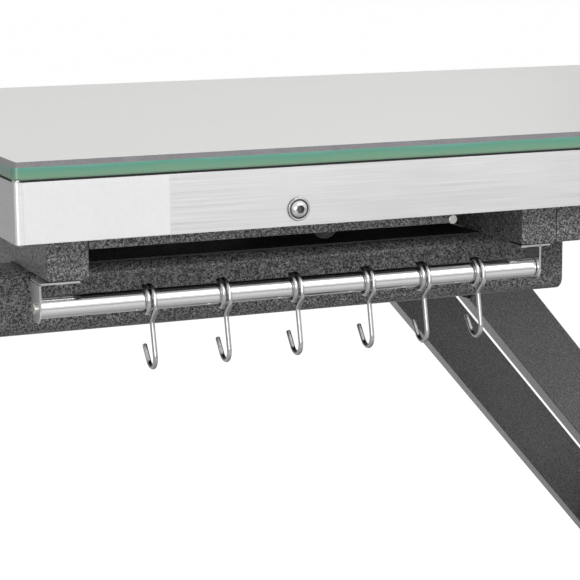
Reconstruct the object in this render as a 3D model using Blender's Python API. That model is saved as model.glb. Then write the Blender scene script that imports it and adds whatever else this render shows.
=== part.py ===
"""Pet grooming table with a glass top on an electric scissor lift.

Metres, +Z up. +X runs along the front edge to the right, +Y points from the
front edge to the back. The origin is on the floor under the middle of the
glass. The lift is modelled fully raised. Pieces that touch on the real table
keep SEAT_GAP between their meshes, and pieces that turn keep RUNNING_GAP.
"""

from math import acos, atan2, cos, pi, radians, sin, tan, tau

import bmesh
import bpy
from mathutils import Matrix, Vector

# Fits
SEAT_GAP = 0.0003
RUNNING_GAP = 0.0003
CUT_OVERRUN = 0.004

# Glass top
TABLE_LENGTH = 1.250
TABLE_WIDTH = 0.650
GLASS_THICKNESS = 0.012
GLASS_ARRIS = 0.0016
GLASS_CORNER_RADIUS = 0.004
GASKET_SPACE = 0.0015
GASKET_WIDTH = 0.012

# Folded stainless frame under the glass
GLASS_OVERHANG = 0.001
FRAME_HEIGHT = 0.042
FRAME_SHEET = 0.0015
FRAME_UPPER_LIP = 0.016
FRAME_LOWER_LIP = 0.040
FRAME_CORNER_RADIUS = 0.004
FRAME_BEND_RADIUS = 0.0016
FRAME_SCREW_FROM_END = 0.206
FRAME_SCREW_HEIGHT = 0.0120

# Board and its bearers inside the frame
BOARD_THICKNESS = 0.018
BOARD_CLEARANCE = 0.001
BEARER_WIDTH = 0.030
BEARER_FROM_END = 0.034
BEARER_BITE = 0.002

# Square tubes under the frame
TUBE_SIZE = 0.030
TUBE_WALL = 0.002
TUBE_EDGE_RADIUS = 0.0025
TUBE_SETBACK = 0.020
LEFT_TUBE_FROM_END = 0.027
RIGHT_TUBE_FROM_END = 0.027
MIDDLE_TUBE_FROM_RAIL_END = 0.0445
VENT_RADIUS = 0.004
VENT_FROM_END = 0.040

# Angle strip between the left and middle tubes
STRIP_DROP = 0.009
STRIP_DEPTH = 0.026
STRIP_SHEET = 0.003
STRIP_LENGTH_SHARE = 0.829
STRIP_DOME_SHARE = 0.64
STRIP_BOLT_RADIUS = 0.0080
STRIP_BOLT_HEIGHT = 0.0045

# Sheets round the left end of the rails
COVER_SHEET = 0.0015
END_PLATE_SHEET = 0.004
END_PLATE_FROM_RAIL = 0.005

# Roller rails, top and base
RAIL_HEIGHT = 0.050
RAIL_DEPTH = 0.032
RAIL_WALL = 0.003
RAIL_CORNER_RADIUS = 0.006
RAIL_FACE_FROM_EDGE = 0.085
RAIL_LEFT_FROM_END = 0.006
RAIL_RIGHT_FROM_END = 0.040
RAIL_PAST_ROLLER = 0.0325

# Scissor lift
ARM_LENGTH = 1.080
RAISED_ANGLE = radians(49.66)
LOWEST_ANGLE = radians(10.47)
PIVOT_FROM_END = 0.112
ARM_DEPTH = 0.050
ARM_WIDTH = 0.025
ARM_WALL = 0.0025
ARM_EDGE_RADIUS = 0.0025
ARM_INNER_FACE = 0.0975
ARM_SIDE_CLEARANCE = 0.004
ARM_TUBE_FROM_PIN = 0.046
LUG_RADIUS = 0.020
LUG_THICKNESS = 0.012
LUG_IN_TUBE = 0.030
LUG_BITE = 0.0012
LUG_WRAP_ANGLE = radians(101)
END_BOSS_RADIUS = 0.0165
CENTRE_BOSS_RADIUS = 0.0180
PIN_RADIUS = 0.008
CENTRE_SHAFT_RADIUS = 0.010
NUT_ACROSS_FLATS = 0.026
NUT_THICKNESS = 0.010
BOLT_TIP_PAST_NUT = 0.004
CROSS_TUBE_SIZE = 0.030
CROSS_TUBE_WALL = 0.002
A_UPPER_TUBE_FROM_ROLLER = 0.430
A_LOWER_TUBE_FROM_PIN = 0.360
B_LOWER_TUBE_FROM_ROLLER = 0.240

# Rollers and their shafts
ROLLER_WIDTH = 0.020
ROLLER_CHAMFER = 0.0012
ROLLER_HUB_RADIUS = 0.013
ROLLER_HUB_RISE = 0.0015
SHAFT_END_FROM_WEB = 0.0012
SHAFT_TIP = 0.0010
COLLAR_THICKNESS = 0.005
COLLAR_RADIUS = 0.0125
CLIP_THICKNESS = 0.0012
CLIP_RADIUS = 0.0105
ROLLER_STOP_MARGIN = 0.045

# Clevis brackets
EAR_THICKNESS = 0.005
EAR_RADIUS = 0.018
BRACKET_MARGIN = 0.002
BRACKET_PLATE = 0.004

# Hook rail and its brackets
HOOK_RAIL_RADIUS = 0.0075
HOOK_RAIL_CHAMFER = 0.0006
HOOK_RAIL_BORE_DEPTH = 0.014
HOOK_RAIL_DROP = 0.0193
BRACKET_SHEET = 0.0015
BRACKET_WIDTH = 0.022
LEFT_FLANGE_LENGTH = 0.030
RIGHT_FLANGE_LENGTH = 0.025
RIGHT_TAB_FROM_FLANGE_END = 0.008
LEFT_TAB_OUTSIDE_TUBE = 0.006
TAB_BELOW_AXIS = 0.010
SMALL_SCREW_RADIUS = 0.0020
SMALL_SCREW_HEAD_RADIUS = 0.0040
SMALL_SCREW_HEAD_HEIGHT = 0.0020
SMALL_SCREW_LENGTH = 0.008
LEFT_SCREW_IN_FLANGE = 0.018
RIGHT_SCREW_IN_FLANGE = 0.0075

# Hooks
HOOK_PLACE_SHARES = (0.2104, 0.3545, 0.4980, 0.6455, 0.7625, 0.8795)
HOOK_WIRE_RADIUS = 0.00175
HOOK_LOOP_PITCH = 0.0046
HOOK_TAIL_ANGLE = radians(-265)
HOOK_FRONT_DROP = 0.0058
HOOK_SHANK_TOP = 0.0165
HOOK_SHANK_BEHIND_AXIS = 0.0015
HOOK_KINK_SHARES = ((0.26, 0.34), (0.80, 0.76))
HOOK_SIDE_LEAN = radians(2)
HOOK_BEND_RADIUS = 0.0088
HOOK_BOTTOM = 0.0512
HOOK_BEND_ANGLE = radians(152)
HOOK_TIP_LENGTH = 0.0125
HOOK_LOOP_STEPS = 15
HOOK_BEND_STEPS = 6

# Button-head screws in the frame
FLANGE_SCREW_RADIUS = 0.0030
FLANGE_SCREW_LENGTH = 0.012
FLANGE_HEAD_RADIUS = 0.0078
FLANGE_HEAD_RIM = 0.0012
FLANGE_DOME_RADIUS = 0.0062
FLANGE_DOME_HEIGHT = 0.0042
FLANGE_SOCKET_ACROSS_FLATS = 0.0050
FLANGE_SOCKET_DEPTH = 0.0022

# Base
FOOT_HEIGHT = 0.012
FOOT_RADIUS = 0.020
FOOT_TOP_RADIUS = 0.0165
FOOT_FROM_TUBE_END = 0.024
BASE_TUBE_HEIGHT = 0.030
BASE_TUBE_WIDTH = 0.040
BASE_TUBE_HALF_SPAN = 0.278
BASE_LEFT_TUBE_FROM_RAIL_END = 0.012
BASE_MIDDLE_TUBE_PLACE = -0.020

# Actuator in the base
ROD_RADIUS = 0.009
ROD_EYE_RADIUS = 0.0155
ROD_EYE_WIDTH = 0.020
ROD_IN_TUBE_AT_LOWEST = 0.050
ACTUATOR_RADIUS = 0.022
ACTUATOR_BORE_GAP = 0.0006
ACTUATOR_MOUTH_FROM_EYE = 0.061
ACTUATOR_GLAND_RADIUS = 0.0235
ACTUATOR_GLAND_LENGTH = 0.022
ACTUATOR_BORE_SPARE = 0.012
GEARBOX_LENGTH = 0.055
GEARBOX_HALF_WIDTH = 0.030
GEARBOX_HALF_HEIGHT = 0.0235
GEARBOX_EDGE_RADIUS = 0.005
MOTOR_RADIUS = 0.0225
MOTOR_LENGTH = 0.105
MOTOR_OFFSET = 0.049
MOTOR_CAP_CHAMFER = 0.003
TAIL_LUG_THICKNESS = 0.012
TAIL_LUG_RADIUS = 0.013
TAIL_LUG_REACH = 0.033
TAIL_PIN_RADIUS = 0.006
TAIL_PIN_FROM_PIVOT = 0.006
TAIL_EAR_RADIUS = 0.0135
SADDLE_LENGTH = 0.026
SADDLE_HALF_WIDTH = 0.034
SADDLE_WALL = 0.005

# Control box with its mains inlet, on the rear rail
BOX_LENGTH = 0.210
BOX_DEPTH = 0.052
BOX_HEIGHT = 0.060
BOX_LOW = 0.036
BOX_EDGE_RADIUS = 0.004
BOX_PLACE = 0.060
INLET_WIDTH = 0.028
INLET_HEIGHT = 0.022
INLET_DEPTH = 0.014
INLET_WALL = 0.002
INLET_FLOOR = 0.003
INLET_CORNER_RADIUS = 0.003
INLET_BLADE_WIDTH = 0.004
INLET_BLADE_THICKNESS = 0.002
INLET_BLADE_LENGTH = 0.009
INLET_BLADE_SPACING = 0.007
INLET_EARTH_RISE = 0.004

# Foot pedal and its housing, on the front rail
PEDAL_LENGTH = 0.230
PEDAL_WIDTH = 0.034
PEDAL_THICKNESS = 0.005
PEDAL_RISE = 0.006
PEDAL_AXIS_HEIGHT = 0.0640
PEDAL_HUB_RADIUS = 0.0065
PEDAL_PIN_RADIUS = 0.0035
PEDAL_PIN_REACH = 0.0045
PEDAL_TREAD_WIDTH = 0.004
PEDAL_TREAD_HEIGHT = 0.0012
PEDAL_TREAD_PITCH = 0.011
PEDAL_TREADS_A_SIDE = 4
PEDAL_TREAD_SINK = 0.0004
PEDAL_HOUSING_LENGTH = 0.260
PEDAL_HOUSING_DEPTH = 0.062
PEDAL_HOUSING_LOW = 0.014
PEDAL_HOUSING_HIGH = 0.051
PEDAL_HOUSING_CHAMFER = 0.010
PEDAL_EAR_THICKNESS = 0.006
PEDAL_EAR_RADIUS = 0.0075
PEDAL_EAR_CLEARANCE = 0.0015

# Facets
ROUND_STEPS = 18
SMALL_STEPS = 12
CORNER_STEPS = 2
HEXAGON_STEPS = 12
SMOOTH_ANGLE = radians(35)
MERGE_DISTANCE = 0.000001

# Places that follow from the sizes above
half_length = TABLE_LENGTH / 2
half_width = TABLE_WIDTH / 2
base_tube_top = FOOT_HEIGHT + SEAT_GAP + BASE_TUBE_HEIGHT
low_axis_z = base_tube_top + SEAT_GAP + RAIL_HEIGHT / 2
high_axis_z = low_axis_z + ARM_LENGTH * sin(RAISED_ANGLE)
pivot_x = half_length - PIVOT_FROM_END
roller_x = pivot_x - ARM_LENGTH * cos(RAISED_ANGLE)
centre_x = (pivot_x + roller_x) / 2
centre_z = (low_axis_z + high_axis_z) / 2

rail_face_y = half_width - RAIL_FACE_FROM_EDGE
rail_web_y = rail_face_y - RAIL_WALL
rail_left = -half_length + RAIL_LEFT_FROM_END
top_rail_right = roller_x + RAIL_PAST_ROLLER
base_rail_right = half_length - RAIL_RIGHT_FROM_END
roller_low_x = max(rail_left + ROLLER_STOP_MARGIN + RAIL_HEIGHT / 2, pivot_x - ARM_LENGTH * cos(LOWEST_ANGLE))

tube_low = high_axis_z + RAIL_HEIGHT / 2 + SEAT_GAP
tube_high = tube_low + TUBE_SIZE
frame_low = tube_high + SEAT_GAP
frame_high = frame_low + FRAME_HEIGHT
glass_low = frame_high + GASKET_SPACE
glass_high = glass_low + GLASS_THICKNESS
tube_end_y = half_width - TUBE_SETBACK

left_tube_x = -half_length + LEFT_TUBE_FROM_END + TUBE_SIZE / 2
middle_tube_x = top_rail_right - MIDDLE_TUBE_FROM_RAIL_END - TUBE_SIZE / 2
right_tube_x = half_length - RIGHT_TUBE_FROM_END - TUBE_SIZE / 2

a_inner = ARM_INNER_FACE
a_outer = a_inner + ARM_WIDTH
b_inner = a_outer + ARM_SIDE_CLEARANCE
b_outer = b_inner + ARM_WIDTH
a_middle = (a_inner + a_outer) / 2
b_middle = (b_inner + b_outer) / 2
shaft_end_y = rail_web_y - SHAFT_END_FROM_WEB
roller_outer_y = shaft_end_y - SHAFT_TIP - CLIP_THICKNESS - SEAT_GAP
roller_radius = RAIL_HEIGHT / 2 - RAIL_WALL - RUNNING_GAP

rod_mouth_x = roller_x + ACTUATOR_MOUTH_FROM_EYE
rod_length = rod_mouth_x - roller_low_x + ROD_IN_TUBE_AT_LOWEST
rod_end_x = roller_x + rod_length
tail_pin_x = pivot_x - TAIL_PIN_FROM_PIVOT
gearbox_right = tail_pin_x - TAIL_LUG_REACH
gearbox_left = gearbox_right - GEARBOX_LENGTH

hook_axis_y = -tube_end_y + BRACKET_WIDTH / 2
hook_axis_z = tube_low - HOOK_RAIL_DROP
left_tab_x = left_tube_x - TUBE_SIZE / 2 - LEFT_TAB_OUTSIDE_TUBE
right_flange_end = middle_tube_x - TUBE_SIZE / 2 + RIGHT_FLANGE_LENGTH
right_tab_x = right_flange_end - RIGHT_TAB_FROM_FLANGE_END
hook_rail_left = left_tab_x + BRACKET_SHEET + SEAT_GAP
hook_rail_right = right_tab_x - BRACKET_SHEET - SEAT_GAP

SIDES = ((-1, "front"), (1, "rear"))
X_AXIS = Vector((1, 0, 0))
Y_AXIS = Vector((0, 1, 0))
Z_AXIS = Vector((0, 0, 1))


# Scene, materials and objects

def clear_scene():
    for old in list(bpy.data.objects):
        bpy.data.objects.remove(old, do_unlink=True)


def finish_material(name, color, roughness, metallic):
    material = bpy.data.materials.new(name)
    material.use_nodes = True
    shader = material.node_tree.nodes["Principled BSDF"]
    shader.inputs["Base Color"].default_value = (*color, 1)
    shader.inputs["Roughness"].default_value = roughness
    shader.inputs["Metallic"].default_value = metallic
    return material


FINISHES = {
    "powder_coat": ((0.075, 0.077, 0.080), 0.62, 0.2),
    "stainless": ((0.62, 0.62, 0.61), 0.34, 1.0),
    "chrome": ((0.80, 0.80, 0.80), 0.10, 1.0),
    "steel": ((0.48, 0.48, 0.49), 0.32, 1.0),
    "zinc": ((0.60, 0.60, 0.58), 0.38, 1.0),
    "glass": ((0.62, 0.63, 0.60), 0.12, 0.0),
    "rubber": ((0.02, 0.02, 0.02), 0.80, 0.0),
    "nylon": ((0.70, 0.69, 0.64), 0.45, 0.0),
    "board": ((0.46, 0.34, 0.21), 0.70, 0.0),
    "plastic": ((0.035, 0.035, 0.037), 0.50, 0.0),
}


def world_place(holder):
    place = Vector()
    while holder:
        place += holder.location
        holder = holder.parent
    return place


def empty_at(name, place, parent=None):
    holder = bpy.data.objects.new(name, None)
    bpy.context.scene.collection.objects.link(holder)
    holder.parent = parent
    holder.location = Vector(place) - world_place(parent)
    return holder


def make_object(bm, name, finish, parent, origin=None, smooth=False):
    """Turn a bmesh in world coordinates into one object of an assembly."""
    held_at = world_place(parent)
    origin = held_at if origin is None else Vector(origin)
    bmesh.ops.recalc_face_normals(bm, faces=bm.faces)
    bmesh.ops.translate(bm, verts=bm.verts, vec=-origin)
    mesh = bpy.data.meshes.new(name)
    bm.to_mesh(mesh)
    bm.free()
    if smooth:
        mesh.shade_smooth()
        mesh.set_sharp_from_angle(angle=SMOOTH_ANGLE)
    mesh.materials.append(finish_material(name, *FINISHES[finish]))
    made = bpy.data.objects.new(name, mesh)
    bpy.context.scene.collection.objects.link(made)
    made.parent = parent
    made.location = origin - held_at
    return made


def helper_object(bm, name, parent):
    """A shape that only cuts or joins: the build leaves it out."""
    made = make_object(bm, name, "steel", parent)
    made.hide_render = True
    made.display_type = "WIRE"
    return made


def combine(target, helper, operation):
    change = target.modifiers.new(operation.lower(), "BOOLEAN")
    change.operation = operation
    change.solver = "EXACT"
    change.object = helper


# Shapes

def add_box(bm, low, high):
    low, high = Vector(low), Vector(high)
    size = high - low
    place = Matrix.Translation((low + high) / 2) @ Matrix.Diagonal((*size, 1))
    return bmesh.ops.create_cube(bm, size=1, matrix=place)["verts"]


def add_rounded_box(bm, low, high, radius, segments=2):
    verts = add_box(bm, low, high)
    edges = list({edge for vert in verts for edge in vert.link_edges})
    bmesh.ops.bevel(bm, geom=edges, offset=radius, segments=segments, profile=0.5,
                    affect="EDGES", clamp_overlap=True)


def ring_outline(half_a, half_b, radius, steps=CORNER_STEPS):
    """A rounded rectangle about the origin, as 2D points, counter-clockwise."""
    radius = min(radius, half_a, half_b)
    points = []
    for turn, (sign_a, sign_b) in enumerate(((1, 1), (-1, 1), (-1, -1), (1, -1))):
        middle = Vector((sign_a * (half_a - radius), sign_b * (half_b - radius)))
        for step in range(steps + 1):
            angle = turn * pi / 2 + step * pi / 2 / steps
            points.append(middle + radius * Vector((cos(angle), sin(angle))))
    return points


def circle_outline(radius, steps=ROUND_STEPS):
    return [radius * Vector((cos(tau * step / steps), sin(tau * step / steps))) for step in range(steps)]


def hexagon_outline(across_flats, steps):
    """Points on a hexagon at the same angles as those of circle_outline."""
    points = []
    for step in range(steps):
        angle = tau * step / steps
        from_flat = (angle + pi / 6) % (pi / 3) - pi / 6
        reach = across_flats / 2 / cos(from_flat)
        points.append(reach * Vector((cos(angle), sin(angle))))
    return points


def axes_for(direction):
    """Two axes that make a right-handed set with direction."""
    direction = Vector(direction).normalized()
    upright = abs(direction.z) > abs(direction.x) + abs(direction.y)
    side = X_AXIS.copy() if upright else Z_AXIS.cross(direction)
    side.normalize()
    return side, direction.cross(side)


def loop_points(outline, centre, direction):
    side, up = axes_for(direction)
    return [Vector(centre) + point.x * side + point.y * up for point in outline]


def loft(bm, loops, closed=False):
    """Skin a row of loops with equally many points; a closed one is a ring."""
    rows = [[bm.verts.new(point) for point in loop] for loop in loops]
    pairs = list(zip(rows, rows[1:]))
    if closed:
        pairs.append((rows[-1], rows[0]))
    count = len(rows[0])
    for low, high in pairs:
        for index in range(count):
            after = (index + 1) % count
            bm.faces.new((low[index], low[after], high[after], high[index]))
    if not closed:
        bm.faces.new(list(reversed(rows[0])))
        bm.faces.new(rows[-1])


def add_cylinder(bm, start, direction, radius, length, steps=ROUND_STEPS):
    direction = Vector(direction).normalized()
    outline = circle_outline(radius, steps)
    ends = (Vector(start), Vector(start) + length * direction)
    loft(bm, [loop_points(outline, end, direction) for end in ends])


def add_ring(bm, start, direction, outer, inner, length):
    """A sleeve, washer or nut between an outer and an inner outline."""
    direction = Vector(direction).normalized()
    near = Vector(start)
    far = near + length * direction
    loops = [loop_points(outer, near, direction), loop_points(outer, far, direction),
             loop_points(inner, far, direction), loop_points(inner, near, direction)]
    loft(bm, loops, closed=True)


def add_turned(bm, profile, start, direction, steps=ROUND_STEPS):
    """Spin (radius, along) points about a line through start."""
    direction = Vector(direction).normalized()
    side = axes_for(direction)[0]
    verts = [bm.verts.new(Vector(start) + radius * side + along * direction) for radius, along in profile]
    edges = [bm.edges.new(pair) for pair in zip(verts, verts[1:])]
    bmesh.ops.spin(bm, geom=verts + edges, cent=start, axis=direction, angle=tau, steps=steps,
                   use_merge=True, use_duplicate=False)
    bmesh.ops.remove_doubles(bm, verts=bm.verts, dist=MERGE_DISTANCE)


def arc(centre, radius, first, last, steps):
    points = []
    for step in range(steps + 1):
        angle = first + (last - first) * step / steps
        points.append((centre[0] + radius * cos(angle), centre[1] + radius * sin(angle)))
    return points


def bar_loops(start, end, half_a, half_b, radius):
    """The two end loops of a bar with rounded long edges."""
    direction = Vector(end) - Vector(start)
    outline = ring_outline(half_a, half_b, radius)
    return [loop_points(outline, place, direction) for place in (start, end)]


# Frame, glass and what lies between them

def plan_loop(inset, radius, z):
    outline = ring_outline(half_length - inset, half_width - inset, radius)
    return [Vector((point.x, point.y, z)) for point in outline]


def make_glass(top):
    bm = bmesh.new()
    inner_radius = GLASS_CORNER_RADIUS - GLASS_ARRIS
    loft(bm, [plan_loop(GLASS_ARRIS, inner_radius, glass_low),
              plan_loop(0, GLASS_CORNER_RADIUS, glass_low + GLASS_ARRIS),
              plan_loop(0, GLASS_CORNER_RADIUS, glass_high - GLASS_ARRIS),
              plan_loop(GLASS_ARRIS, inner_radius, glass_high)])
    make_object(bm, "glass_top", "glass", top)


def make_gasket(top):
    bm = bmesh.new()
    low = frame_high + SEAT_GAP
    high = glass_low - SEAT_GAP
    outer = GLASS_OVERHANG + FRAME_BEND_RADIUS
    inner = outer + GASKET_WIDTH
    loft(bm, [plan_loop(outer, FRAME_CORNER_RADIUS, low), plan_loop(outer, FRAME_CORNER_RADIUS, high),
              plan_loop(inner, FRAME_SHEET, high), plan_loop(inner, FRAME_SHEET, low)], closed=True)
    make_object(bm, "glass_gasket", "rubber", top)


def frame_screw_places():
    """Outer face points of the frame's screws, with their outward side."""
    reach = half_length - FRAME_SCREW_FROM_END
    face = half_width - GLASS_OVERHANG
    height = frame_low + FRAME_SCREW_HEIGHT
    return [(Vector((end * reach, side * face, height)), side) for side, _ in SIDES for end in (-1, 1)]


def make_frame(top):
    """The folded ring: an outer wall with a lip turned in above and below."""
    outer = GLASS_OVERHANG
    wall = outer + FRAME_SHEET
    upper_lip = outer + FRAME_UPPER_LIP
    lower_lip = outer + FRAME_LOWER_LIP
    bend = [(FRAME_BEND_RADIUS * (1 - cos(angle)), FRAME_BEND_RADIUS * (1 - sin(angle)))
            for angle in (0, pi / 4, pi / 2)]
    section = [(outer + bend_in, frame_low + bend_up) for bend_in, bend_up in bend]
    section += [(lower_lip, frame_low), (lower_lip, frame_low + FRAME_SHEET), (wall, frame_low + FRAME_SHEET),
                (wall, frame_high - FRAME_SHEET), (upper_lip, frame_high - FRAME_SHEET), (upper_lip, frame_high)]
    section += [(outer + bend_in, frame_high - bend_up) for bend_in, bend_up in reversed(bend)]
    least_radius = FRAME_SHEET
    bm = bmesh.new()
    loops = [plan_loop(inset, max(FRAME_CORNER_RADIUS + outer - inset, least_radius), height)
             for inset, height in section]
    loft(bm, loops, closed=True)
    frame = make_object(bm, "steel_frame", "stainless", top)
    add_frame_screws(frame, top)


def add_frame_screws(frame, top):
    """Button-head screws with hexagon sockets, tight in the frame's wall."""
    screws = bmesh.new()
    sockets = bmesh.new()
    for place, side in frame_screw_places():
        out = side * Y_AXIS
        rim = FLANGE_HEAD_RIM
        dome = [(FLANGE_DOME_RADIUS * cos(angle), rim + (FLANGE_DOME_HEIGHT - rim) * sin(angle))
                for angle in (0, pi / 6, pi / 3)]
        profile = [(0, -FLANGE_SCREW_LENGTH), (FLANGE_SCREW_RADIUS, -FLANGE_SCREW_LENGTH),
                   (FLANGE_SCREW_RADIUS, -FRAME_SHEET / 2), (FLANGE_HEAD_RADIUS, -FRAME_SHEET / 2),
                   (FLANGE_HEAD_RADIUS, rim / 2), *dome, (0, FLANGE_DOME_HEIGHT)]
        add_turned(screws, profile, place, out, SMALL_STEPS)
        floor = FLANGE_DOME_HEIGHT - FLANGE_SOCKET_DEPTH
        outline = hexagon_outline(FLANGE_SOCKET_ACROSS_FLATS, HEXAGON_STEPS)
        loft(sockets, [loop_points(outline, place + floor * out, out),
                       loop_points(outline, place + (FLANGE_DOME_HEIGHT + CUT_OVERRUN) * out, out)])
    combine(frame, helper_object(screws, "frame_screws", top), "UNION")
    combine(frame, helper_object(sockets, "frame_screw_sockets", top), "DIFFERENCE")


def make_inside_of_frame(top):
    """A board under the glass, on bearers that lie on the frame's lower lip."""
    board_inset = GLASS_OVERHANG + FRAME_UPPER_LIP + BOARD_CLEARANCE
    board_high = glass_low - SEAT_GAP
    board_low = board_high - BOARD_THICKNESS
    bm = bmesh.new()
    add_box(bm, (-half_length + board_inset, -half_width + board_inset, board_low),
            (half_length - board_inset, half_width - board_inset, board_high))
    board = make_object(bm, "support_board", "board", top)

    low = frame_low + FRAME_SHEET + SEAT_GAP
    reach = half_width - GLASS_OVERHANG - FRAME_SHEET - BOARD_CLEARANCE
    end_x = half_length - BEARER_FROM_END
    screw_x = half_length - FRAME_SCREW_FROM_END
    bm = bmesh.new()
    for x in (-end_x, -screw_x, 0, screw_x, end_x):
        add_box(bm, (x - BEARER_WIDTH / 2, -reach, low), (x + BEARER_WIDTH / 2, reach, board_low + BEARER_BITE))
    combine(board, helper_object(bm, "board_bearers", top), "UNION")
    holes = bmesh.new()
    depth = FLANGE_SCREW_LENGTH + SEAT_GAP
    for place, side in frame_screw_places():
        start = place + side * CUT_OVERRUN * Y_AXIS
        add_cylinder(holes, start, -side * Y_AXIS, FLANGE_SCREW_RADIUS + SEAT_GAP, CUT_OVERRUN + depth, SMALL_STEPS)
    combine(board, helper_object(holes, "bearer_screw_holes", top), "DIFFERENCE")


# Tubes, strips and rails under the frame

def make_tube(name, start, end, width, height, parent, holes_below, fittings=None):
    """A tube with closed ends; holes_below lists (place, radius) in its underside."""
    start, end = Vector(start), Vector(end)
    wall = TUBE_WALL * (end - start).normalized()
    bm = bmesh.new()
    loft(bm, bar_loops(start, end, width / 2, height / 2, TUBE_EDGE_RADIUS))
    tube = make_object(bm, name, "powder_coat", parent, smooth=True)
    hollow = bmesh.new()
    loft(hollow, bar_loops(start + wall, end - wall, width / 2 - TUBE_WALL, height / 2 - TUBE_WALL,
                           TUBE_EDGE_RADIUS))
    combine(tube, helper_object(hollow, name + "_hollow", parent), "DIFFERENCE")
    holes = bmesh.new()
    for place, radius in holes_below:
        first = Vector(place) - CUT_OVERRUN * Z_AXIS
        add_cylinder(holes, first, Z_AXIS, radius, TUBE_WALL + 2 * CUT_OVERRUN, SMALL_STEPS)
    combine(tube, helper_object(holes, name + "_drain_holes", parent), "DIFFERENCE")
    return tube


def make_tubes_under_frame(top):
    middle_z = (tube_low + tube_high) / 2
    half = TUBE_SIZE / 2
    size = (TUBE_SIZE, TUBE_SIZE, top)
    screw_hole = SMALL_SCREW_RADIUS + SEAT_GAP
    crossing = {
        "cross_tube_left": (left_tube_x, left_tab_x + LEFT_SCREW_IN_FLANGE),
        "cross_tube_middle": (middle_tube_x, right_flange_end - RIGHT_FLANGE_LENGTH + RIGHT_SCREW_IN_FLANGE),
        "cross_tube_right": (right_tube_x, None),
    }
    for name, (x, screw_x) in crossing.items():
        holes = [((x, tube_end_y - VENT_FROM_END, tube_low), VENT_RADIUS)]
        if screw_x is not None:
            holes.append(((screw_x, hook_axis_y, tube_low), screw_hole))
        tube = make_tube(name, (x, -tube_end_y, middle_z), (x, tube_end_y, middle_z), *size, holes)
        if name == "cross_tube_left":
            weld_end_plate(tube, top)

    inner_y = tube_end_y - TUBE_SIZE - SEAT_GAP
    hole = ((pivot_x, inner_y - VENT_FROM_END, tube_low), VENT_RADIUS)
    tube = make_tube("cross_tube_pivot", (pivot_x, -inner_y, middle_z), (pivot_x, inner_y, middle_z), *size, [hole])
    weld_clevises(tube, arm_clevises(high_axis_z, tube_low, b_middle), top)

    left = middle_tube_x + half + SEAT_GAP
    right = right_tube_x - half - SEAT_GAP
    for side, word in SIDES:
        y = side * (tube_end_y - half)
        hole = ((right - VENT_FROM_END, y, tube_low), VENT_RADIUS)
        make_tube("side_tube_" + word, (left, y, middle_z), (right, y, middle_z), *size, [hole])


def weld_end_plate(tube, top):
    """A plate under the left tube that fills the end between the rails."""
    left = left_tube_x - TUBE_SIZE / 2 + TUBE_WALL / 2
    reach = rail_face_y - RAIL_DEPTH - END_PLATE_FROM_RAIL
    bm = bmesh.new()
    low = high_axis_z - RAIL_HEIGHT / 2
    add_box(bm, (left, -reach, low), (left + END_PLATE_SHEET, reach, tube_low + TUBE_WALL / 2))
    combine(tube, helper_object(bm, "end_plate", top), "UNION")


def make_rail_cover(top):
    """A sheet on the rails that fills the bay between the left two tubes."""
    left = left_tube_x + TUBE_SIZE / 2 + SEAT_GAP
    right = middle_tube_x - TUBE_SIZE / 2 - SEAT_GAP
    reach = rail_face_y - SEAT_GAP
    bm = bmesh.new()
    add_box(bm, (left, -reach, tube_low), (right, reach, tube_low + COVER_SHEET))
    make_object(bm, "rail_cover", "powder_coat", top)


def make_edge_strips(top):
    """Angle strips that close the gap under the frame beside the hooks."""
    left = left_tube_x + TUBE_SIZE / 2 + SEAT_GAP
    right = left + STRIP_LENGTH_SHARE * (middle_tube_x - TUBE_SIZE / 2 - left)
    high = frame_low - SEAT_GAP
    section = [(0, 0), (0, -STRIP_DROP), (STRIP_SHEET, -STRIP_DROP), (STRIP_SHEET, -STRIP_SHEET),
               (STRIP_DEPTH, -STRIP_SHEET), (STRIP_DEPTH, 0)]
    middle = (STRIP_SHEET + STRIP_DEPTH) / 2
    dome = [(STRIP_BOLT_RADIUS * cos(angle), STRIP_BOLT_HEIGHT * sin(angle)) for angle in (0, pi / 6, pi / 3)]
    bite = -STRIP_SHEET / 2
    profile = [(0, bite), (STRIP_BOLT_RADIUS, bite), *dome, (0, STRIP_BOLT_HEIGHT)]
    for side, word in SIDES:
        inward = -side * Y_AXIS
        edge = side * tube_end_y * Y_AXIS + high * Z_AXIS
        bm = bmesh.new()
        loft(bm, [[edge + x * X_AXIS + point[0] * inward + point[1] * Z_AXIS for point in section]
                  for x in (left, right)])
        strip = make_object(bm, "edge_strip_" + word, "powder_coat", top, smooth=True)
        bolts = bmesh.new()
        for x in (left + STRIP_DOME_SHARE * (right - left), right - middle):
            place = (x, side * (tube_end_y - middle), high - STRIP_SHEET)
            add_turned(bolts, profile, place, -Z_AXIS, SMALL_STEPS)
        combine(strip, helper_object(bolts, f"edge_strip_{word}_bolts", top), "UNION")


def channel_section():
    """A C-section with rounded outer corners: depth inward, height about 0."""
    half = RAIL_HEIGHT / 2
    outer = RAIL_CORNER_RADIUS
    inner = outer - RAIL_WALL
    steps = CORNER_STEPS
    upper = [(RAIL_DEPTH, half), *arc((outer, half - outer), outer, pi / 2, pi, steps)]
    lower = [*arc((outer, outer - half), outer, pi, 3 * pi / 2, steps), (RAIL_DEPTH, -half)]
    inner_low = [(RAIL_DEPTH, RAIL_WALL - half), *arc((outer, outer - half), inner, 3 * pi / 2, pi, steps)]
    inner_high = [*arc((outer, half - outer), inner, pi, pi / 2, steps), (RAIL_DEPTH, half - RAIL_WALL)]
    return upper + lower + inner_low + inner_high


def make_rail(name, side, left, right, axis_z, parent):
    """A channel, open to the middle of the table, in which a roller runs."""
    bm = bmesh.new()
    loops = []
    for x in (left, right):
        corner = x * X_AXIS + side * rail_face_y * Y_AXIS + axis_z * Z_AXIS
        loops.append([corner - depth * side * Y_AXIS + height * Z_AXIS for depth, height in channel_section()])
    loft(bm, loops)
    make_object(bm, name, "powder_coat", parent, smooth=True)


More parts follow.
